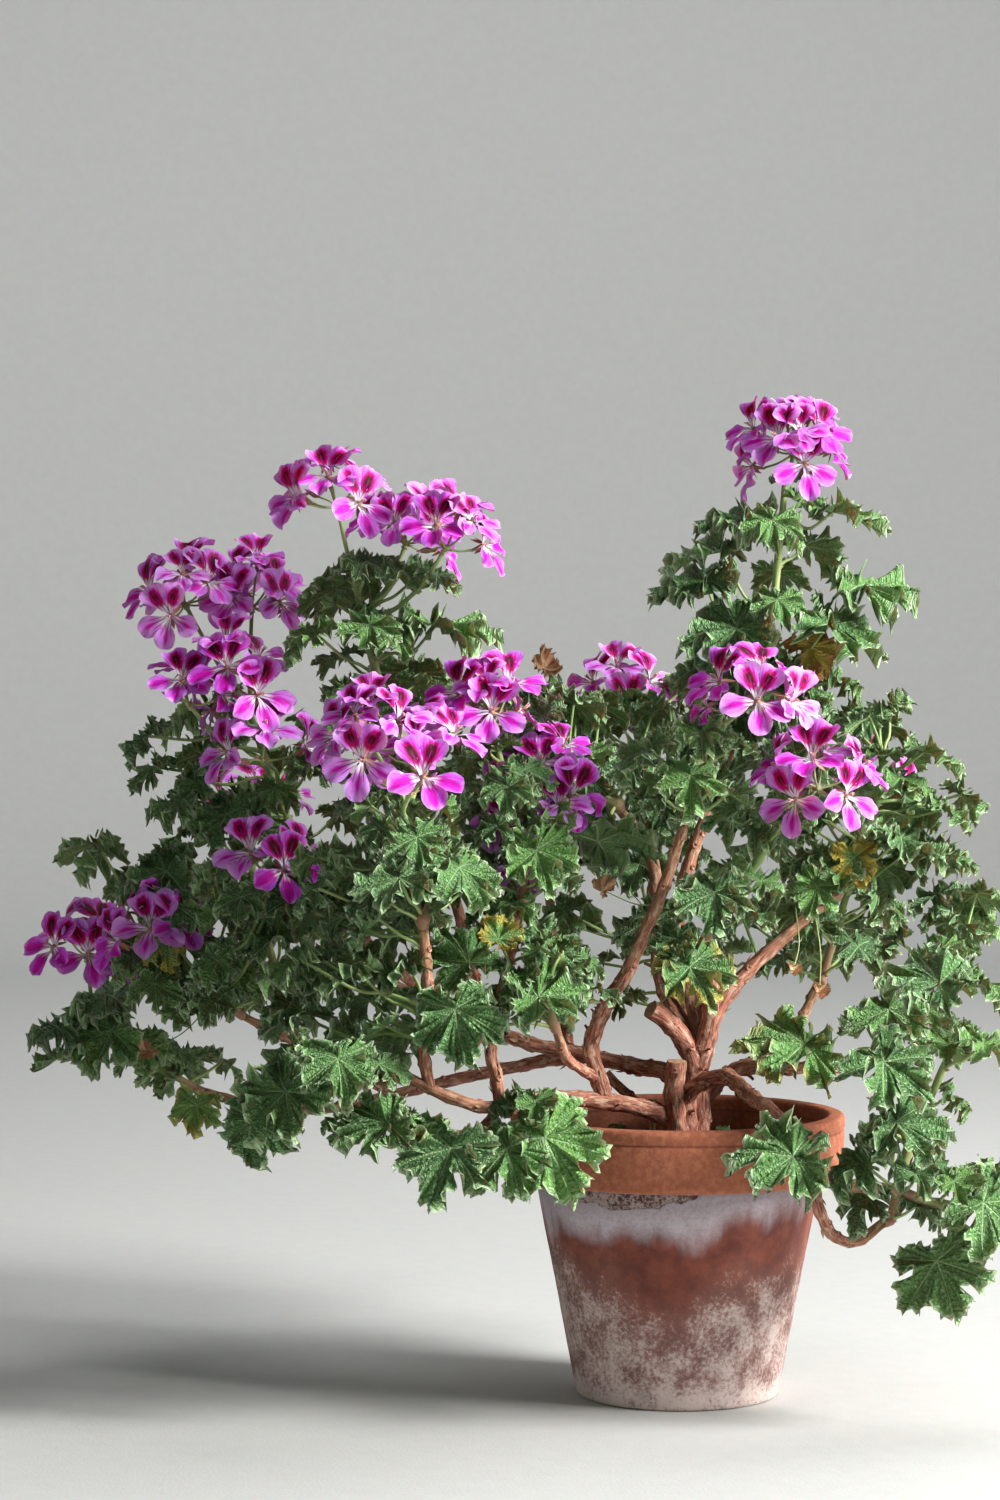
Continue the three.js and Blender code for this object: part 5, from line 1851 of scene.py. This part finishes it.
@dataclass
class Pot:
    """The clay pot: a tapered body on a small foot, with a deep rim."""

    rim_radius: float = 110.0
    rim_height: float = 40.0
    rim_wall: float = 12.0
    height: float = 185.0
    body_radius: float = 94.0
    foot_radius: float = 67.0
    wall: float = 8.0
    floor: float = 10.0
    chamfer: float = 3.0
    lip: float = 3.0
    groove_drop: float = 9.5
    drain_radius: float = 6.5
    drain_circle: float = 34.0
    drains: int = 3
    sides: int = 144

    def inner(self, height: float) -> float:
        """Return the radius of the inside wall at a height."""
        slope = (self.body_radius - self.foot_radius) / (self.height - self.rim_height)
        return self.foot_radius - self.wall + slope * height

    def profile(self) -> list[Point]:
        """Return the pot's section.

        Returns:
            Radius and height, from the middle of the foot round to the inside floor.
        """
        ledge, foot, rim = self.height - self.rim_height, self.foot_radius, self.rim_radius
        points = [(0, 0), (foot * 0.5, 0), (foot - self.chamfer, 0), (foot - 0.7, 0.9)]
        points.append((foot, self.chamfer))
        for share in np.linspace(0.06, 1, 26):
            reach = foot + (self.body_radius - foot) * share
            points.append((reach, self.chamfer + (ledge - self.chamfer - 0.8) * share))
        points += [(self.body_radius + 0.6, ledge), (rim - 3.2, ledge), (rim - 1.8, ledge + 0.8)]
        groove = self.height - self.groove_drop
        for share in (0.0, 0.25, 0.5, 0.75, 1.0):
            reach = rim - 1.2 + share if share else rim - 1.4
            points.append((reach, ledge + 3 + (groove - ledge - 4.5) * share))
        points += [(rim - 0.9, groove - 0.5), (rim - 0.9, groove + 0.5), (rim - 0.1, groove + 1.6)]
        inside, lip = rim - self.rim_wall, self.lip
        for middle, turns in ((rim - lip, (0, 25, 50, 75, 90)), (inside + lip, (90, 120, 150, 180))):
            for turn in turns:
                x, y, _ = lip * spoke(math.radians(turn))
                points.append((middle + x, self.height - lip + y))
        points += [(inside - 0.4, self.height - 20), (self.inner(ledge) + 1.5, ledge + 2)]
        points += [(self.inner(level), level) for level in (ledge - 4, 100, 60, self.floor + 4)]
        floor = self.floor
        return points + [(self.inner(floor) - 4, floor), (foot * 0.4, floor), (0, floor)]

    @staticmethod
    def worn(point: Array) -> Array:
        """Return a point moved by up to half a millimetre, as on a hand-finished pot."""
        bump = 0.45 * noise.noise(Vector(point) * 0.022) + 0.16 * noise.noise(Vector(point) * 0.11)
        return point + unit(point * (1, 1, 0)) * bump if point[2] > 1 else point

    def build(self, material: Material) -> None:
        """Build the pot and cut its drain holes.

        Args:
            material: its finish.
        """
        form, drill = Form(), Form()
        form.lathe(self.profile(), self.sides, Part.CUT, self.worn)
        reach = self.drain_radius
        for hole in range(self.drains):
            centre = self.drain_circle * spoke(FULL_TURN * (hole + 0.25) / self.drains)[:2]
            drill.lathe([(0, -2), (reach, -2), (reach, 14), (0, 14)], 20, centre=centre)
        pot = stand("clay_pot", form.mesh("clay_pot"))
        pot.data.materials.append(material)
        cutter = stand("drill", drill.mesh("drill"))
        cut = pot.modifiers.new("drains", "BOOLEAN")
        cut.object = cutter
        cut.operation = "DIFFERENCE"
        keep_result(pot, cut)
        bpy.data.meshes.remove(cutter.data)
        dress(pot, "terracotta", "pot")


@dataclass
class Soil:
    """The soil in the pot, with crumbs on it and a few seedlings."""

    level: float = 150.0
    crown: float = 4.0
    floor: float = 10.35
    gap: float = 0.6
    rings: int = 22
    sides: int = 72

    SEEDLINGS = (
        (11, 60, 26), (-14, 68, 38), (-2, 64, 30), (36, 62, 20), (-40, 48, 22), (8, -76, 14),
        (60, -30, 14),
    )

    def build(self, pot: Pot, material: Material) -> None:
        """Build the soil.

        Args:
            pot: what it fills.
            material: its finish.
        """
        edge = pot.inner(self.level - self.crown) - self.gap
        bottom = pot.inner(self.floor) - self.gap
        profile = [(0, self.floor), (bottom, self.floor), (edge, self.level - 5)]
        profile += [(edge * share, self.level - self.crown * share**2)
                    for share in np.linspace(0.985, 0.03, self.rings)]

        def lumpy(point: Array) -> Array:
            """Return a point, lifted into lumps where it is on top."""
            lift = 2.2 * noise.noise(Vector(point) * 0.05) + 1.2 * noise.noise(Vector(point) * 0.17)
            return point + UP * lift if point[2] > self.level - self.crown - 0.5 else point

        form = Form()
        form.lathe([*profile, (0, self.level)], self.sides, Part.CUT, lumpy)
        soil = CrumbTree(material).run("potting_soil", form.mesh("potting_soil"))
        dress(soil, "soil", "soil")

    def plant_seedlings(self, growth: GrowthTree) -> None:
        """Build the seedlings that stand in the soil near the rim.

        Args:
            growth: what grows them.
        """
        roll = random.Random(31)
        piece = Piece("seedlings")
        for x, y, tall in self.SEEDLINGS:
            for _ in range(4):
                foot = vec(x + roll.uniform(-5, 5), y + roll.uniform(-4, 4), self.level - 4)
                lean = vec(roll.uniform(-6, 6), roll.uniform(-6, 6), tall * roll.uniform(0.7, 1.1))
                top = foot + lean
                piece.stalk([foot, (foot + top) / 2 + (0.8, 0, 0), top], 0.5, 0.35)
                tip = vec(roll.uniform(-1, 1), roll.uniform(-1, 1), 0.1)
                axes = looking(vec(0.2, -0.4, 1.0), tip)
                piece.mark(top, axes, roll.uniform(5, 9), Kind.SMALL_LEAF.form(roll), 0.2)
        piece.grow(growth, "leaf")


@dataclass
class OldWood:
    """The root crown and all the brown stems, with leaf scars, stubs and peeling bark."""

    crown_radius: float = 22.0
    crown_centre: Point = (4.0, -2.0)
    crown_depth: float = 26.0
    pitch: float = 2.4
    sides: int = 16
    bark_relief: float = 0.22
    flakes: float = 260 / 3800

    CROWN = (
        (0.9, -26), (1, -12), (1, 0), (0.92, 4), (0.75, 9), (0.5, 14), (0.2, 17), (0, 18),
    )

    def stem(self, piece: Piece, name: str, roll: random.Random) -> None:
        """Add a woody stem with its scars and flakes.

        Args:
            piece: what it is added to.
            name: the stem's name.
            roll: the random draws.
        """
        plan = WOOD[name]
        points, shares = Route(plan.route).sampled(self.pitch)
        radii = plan.start + (plan.end - plan.start) * shares
        length = self.pitch * len(points)
        joints = np.cumsum([roll.uniform(9, 21) for _ in range(int(length / 9) + 1)])
        joints = joints[joints < length - 4]
        for joint in joints:
            radii = radii * (1 + 0.13 * np.exp(-(((shares * length - joint) / 2.6) ** 2)))
        offset = roll.uniform(0, 100)

        def rough(turn: float, along: float) -> float:
            """Return how far the bark stands out.

            Args:
                turn: where that is round the stem.
                along: where it is along it.

            Returns:
                A share of the radius.
            """
            around = 2.1 * spoke(turn)
            slow = noise.noise(Vector(around + UP * (along * 0.06 + offset)))
            quick = noise.noise(Vector(around * 2 + UP * (along * 0.13 + offset)))
            return 1 + self.bark_relief * slow + 0.5 * self.bark_relief * quick

        def mark(share: float, kind: Kind, size: float) -> None:
            """Mark a place on the stem's surface.

            Args:
                share: its share of the way.
                kind: what grows there.
                size: how large that is.
            """
            index = min(len(points) - 2, max(1, int(share * (len(points) - 1))))
            ahead = unit(points[index + 1] - points[index - 1])
            some = vec(*(roll.uniform(-1, 1) for _ in range(3)))
            out = unit(some - np.dot(some, ahead) * ahead)
            lean, sunk = (0.5, 0.86) if kind is Kind.STUB else (0.0, 0.97)
            place = points[index] + out * radii[index] * sunk
            piece.mark(place, looking(out + ahead * lean, ahead), size, kind.form(roll))

        cut = name in ("stub", "stump", "inner_stub", "trunk")
        young = 0.0 if cut else 0.7 * shares**3
        piece.form.tube(points, radii, self.sides, Part.BARK, rough, cut, young)
        for joint in joints:
            mark(joint / length, Kind.SCAR, roll.uniform(1.5, 2.4))
            if roll.random() < 0.16:
                mark(joint / length, Kind.STUB, roll.uniform(1.2, 2.4))
        for _ in range(round(self.flakes * length * (2.5 if name == "upright_front" else 1))):
            mark(roll.random(), Kind.FLAKE, roll.uniform(3.5, 7))

    def build(self, growth: GrowthTree) -> None:
        """Build all the wood as one piece.

        Args:
            growth: what grows it.
        """
        roll = random.Random(17)
        piece = Piece("old_wood")
        level = Soil.level
        middle = vec(*self.crown_centre, level - 4)

        def knobbly(point: Array) -> Array:
            """Return a point, moved by the crown's lumps where it is above the soil."""
            bump = 1 + noise.noise(Vector(point) * 0.09) * 0.24
            return middle + (point - middle) * bump if point[2] > level - 8 else point

        profile = [(self.crown_radius * share, level + rise) for share, rise in self.CROWN]
        profile.insert(0, (0, level - self.crown_depth))
        piece.form.lathe(profile, 40, Part.BARK, knobbly, self.crown_centre)
        for name in WOOD:
            self.stem(piece, name, roll)
        piece.grow(growth, "bark", "woody_stems")


@dataclass
class LeafyShoot:
    """A green shoot with its petioles, leaves and flower stalks."""

    name: str
    tip_radius: float = 2.1
    pitch: float = 2.5
    sides: int = 12
    petiole: tuple[float, float] = (1.25, 0.95)
    stalk: tuple[float, float] = (1.7, 1.3)
    pedicel: tuple[float, float] = (0.7, 0.8)

    def leaf(self, leaf: Leaf, piece: Piece, roll: random.Random) -> None:
        """Mark a leaf and its stipules, and add the petiole that comes to it from behind.

        Args:
            leaf: the leaf.
            piece: what it is added to.
            roll: the random draws.
        """
        span = leaf.root - leaf.joint
        behind = leaf.bend * float(np.linalg.norm(span)) * leaf.face
        near = leaf.joint + 0.4 * span - behind
        far = leaf.root - 0.3 * span - 0.05 * behind
        piece.stalk([leaf.root, far, near, leaf.joint - leaf.face * 0.3], *self.petiole, 4)
        age = min(1.0, max(0.0, leaf.age + roll.uniform(-0.2, 0.25)))
        wither = leaf.wither or (roll.uniform(0.04, 0.16) if roll.random() < 0.1 else 0.0)
        kind = Kind.LEAF if leaf.size > 31 else Kind.SMALL_LEAF
        if leaf.size < 24 and roll.random() < 0.5:
            kind = Kind.YOUNG_LEAF
            age *= 0.4
        axes = looking(leaf.face, leaf.tip)
        piece.mark(leaf.joint, axes, leaf.size * 1.04, kind.form(roll), age, wither)
        out = unit(-span)
        base = leaf.root + out * self.tip_radius * 0.8
        piece.mark(base, looking(np.cross(out, (0.3, 0.4, 1)), out), 4.5, Kind.STIPULE.form(roll))

    def head(self, name: str, plan: Plan, piece: Piece, roll: random.Random) -> None:
        """Add a flower head's stalks, calyces, bracts and buds.

        Args:
            name: the head's name.
            plan: where the flowers stand.
            piece: what they are added to.
            roll: the random draws.
        """
        piece.stalk(stalk_route(BLOOMS[name]).points, *self.stalk, 4)
        hub, ahead = plan.hub(BLOOMS[name])
        piece.stalk([hub - ahead * 3.5, hub, hub + ahead * 2], 1.9, 1.5, 1.5)
        for number in range(7):
            side = looking(ahead, spoke(FULL_TURN * number / 7, 0.3))
            piece.mark(hub - ahead * 1.5, side, roll.uniform(4.5, 6.5), Kind.BRACT.form(roll))
        for flower in plan.head(name):
            back = flower.joint - flower.axes[:, 2] * 8
            middle = (flower.hub + back) / 2 - 1.5 * UP
            piece.stalk([flower.hub, middle, back], *self.pedicel)
            piece.mark(flower.joint, flower.axes, 23 * flower.size, Kind.CALYX.form(roll), 0.2)
        for _ in range(roll.choice((1, 2, 2, 3))):
            turn = roll.uniform(0, 6.28)
            out = unit(spoke(turn, roll.uniform(-0.5, 0.5)) + ahead * 0.4)
            end = hub + out * roll.uniform(9, 15)
            piece.stalk([hub, hub + out * 6 + UP, end], 0.6, 0.6)
            piece.mark(end, looking(out, UP + ahead), 17, Kind.BUD.form(roll), 0.2)

    def build(self, plan: Plan, growth: GrowthTree) -> None:
        """Build the shoot as one piece.

        Args:
            plan: where leaves and flowers stand.
            growth: what grows it.
        """
        order = list(SHOOTS).index(self.name)
        roll = random.Random(500 + order)
        shoot = SHOOTS[self.name]
        piece = Piece(f"leafy_{self.name}")
        leaves = [leaf for leaf in plan.leaves if leaf.on == self.name]
        for leaf in leaves:
            self.leaf(leaf, piece, roll)
        for name, bloom in BLOOMS.items():
            if bloom.on == self.name:
                self.head(name, plan, piece, roll)
        route = shoot_route(shoot)
        points, shares = route.sampled(self.pitch)
        start = WOOD[shoot.grows_from].end
        radii = start + (self.tip_radius - start) * shares
        for leaf in leaves:
            away = np.linalg.norm(points - leaf.root, axis=1)
            radii = radii * (1 + 0.14 * np.exp(-((away / 3.2) ** 2)))
        piece.form.tube(points, radii, self.sides, Part.STEM, tone=shares)
        for bit in DRY_BITS:
            if bit.on == self.name:
                start, place = (vec(*point) for point in bit.points)
                piece.stalk([start, (start + place) / 2 + (3, 0, -4), place], 0.5, 0.35)
                axes = looking(vec(0.3, -0.8, 0.5), unit(place - start))
                piece.mark(place, axes, bit.size, Kind.DRY_LEAF.form(roll))
        tip, ahead = route.at(1), route.ahead(1)
        for number in range(4):
            out = unit(spoke(number * GOLDEN_ANGLE + order, 0.4) + ahead * 0.4)
            joint = tip + out * roll.uniform(5, 12)
            piece.stalk([tip, (tip + joint) / 2, joint], 0.8, 0.6)
            axes = looking(ahead + out * 0.3, out)
            piece.mark(joint, axes, roll.uniform(9, 16), Kind.YOUNG_LEAF.form(roll), 0.1)
        piece.grow(growth, "leaf", f"shoot_{self.name}")


@dataclass
class FlowerHead:
    """The petals and stamens of one flower head."""

    name: str
    reach: float = 26.0

    def build(self, plan: Plan, growth: GrowthTree) -> None:
        """Build the head as one piece.

        Args:
            plan: where the flowers stand.
            growth: what grows it.
        """
        roll = random.Random(900 + list(BLOOMS).index(self.name))
        piece = Piece(f"flowers_{self.name}")
        for flower in plan.head(self.name):
            x, y, z = flower.axes.T
            lean = roll.uniform(-0.22, 0.22)
            axes = looking(z, y * math.cos(lean) + x * math.sin(lean))
            size = self.reach * flower.size * roll.uniform(0.94, 1.08)
            piece.mark(flower.joint, axes, size, Kind.FLOWER.form(roll), roll.random())
        piece.grow(growth, "petal", f"bloom_{self.name}")


# ---- the studio


@dataclass
class Studio:
    """The camera, the soft lights and the pale floor, in metres."""

    camera_place: Point = (-0.117, -2.33, 0.459)
    camera_drop: float = 0.873
    lens: float = 85.0
    floor_radius: float = 3.6
    wall_radius: float = 4.8
    wall_height: float = 3.4
    pale: Colour = (0.57, 0.58, 0.57)

    @staticmethod
    def light(
        name: str, place: Point, power: float, size: float, tint: Colour = (1.0, 1.0, 1.0),
        aim: Point = (-0.08, 0, 0.33),
    ) -> None:
        """Add a soft light.

        Args:
            name: its name.
            place: where it stands.
            power: its power in watts.
            size: its width.
            tint: its colour.
            aim: what it looks at.
        """
        data = bpy.data.lights.new(name, "AREA")
        data.energy = power
        data.size = size
        data.color = tint
        lamp = stand(name, data)
        lamp.location = place
        lamp.rotation_euler = (Vector(aim) - Vector(place)).to_track_quat("-Z", "Y").to_euler()

    def build(self) -> None:
        """Build the camera, the lights, and the floor that curves up into a round wall."""
        lens = bpy.data.cameras.new("camera")
        lens.lens = self.lens
        lens.sensor_width = 36
        camera = stand("camera", lens)
        camera.location = self.camera_place
        camera.rotation_euler = (math.radians(90 - self.camera_drop), 0, 0)
        inner, outer, top = self.floor_radius, self.wall_radius, self.wall_height
        rise = outer - inner
        profile = [(0, -0.3), (outer + 0.3, -0.3), (outer + 0.3, top), (outer, top)]
        for turn in np.linspace(0, math.pi / 2, 12):
            x, y, _ = spoke(turn) * rise
            profile.append((inner + x, rise - y))
        profile += [(inner * 0.6, 0), (inner * 0.3, 0), (0, 0)]
        form = Form()
        form.lathe(profile, 96)
        floor = stand("floor", form.mesh("floor", 1.0))
        finish = PlainFinish("pale_floor", self.pale, tuple(0.97 * c for c in self.pale), 60, 0.7)
        floor.data.materials.append(finish.build())
        self.light("key", (2.3, -0.9, 1.55), 190, 0.9, (1.0, 0.98, 0.95))
        self.light("fill", (-2.0, -2.1, 1.3), 1.2, 2.4, (0.93, 0.97, 1.0))
        self.light("top", (0.6, 0.7, 2.5), 30, 1.4)
        self.light("wall", (0, 2.5, 2.7), 28, 2.4, aim=(0, 4.8, 1.0))
        scene = bpy.context.scene
        scene.camera = camera
        scene.world = bpy.data.worlds.new("studio")
        scene.world.use_nodes = True
        background = scene.world.node_tree.nodes["Background"].inputs
        background[0].default_value = (0.85, 0.88, 0.9, 1)
        background[1].default_value = 0.06
        scene.view_settings.view_transform = "Standard"


def main() -> None:
    logging.basicConfig(level=logging.INFO, format="%(name)s: %(message)s")
    Studio().build()
    growth = GrowthTree(plant_finishes())
    plan = Plan()
    pot, soil = Pot(), Soil()
    pot.build(ClayFinish().build())
    soil.build(pot, SoilFinish().build())
    soil.plant_seedlings(growth)
    OldWood().build(growth)
    for name in SHOOTS:
        LeafyShoot(name).build(plan, growth)
    for name in BLOOMS:
        FlowerHead(name).build(plan, growth)
    growth.clear()
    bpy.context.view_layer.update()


if __name__ == "__main__":
    main()
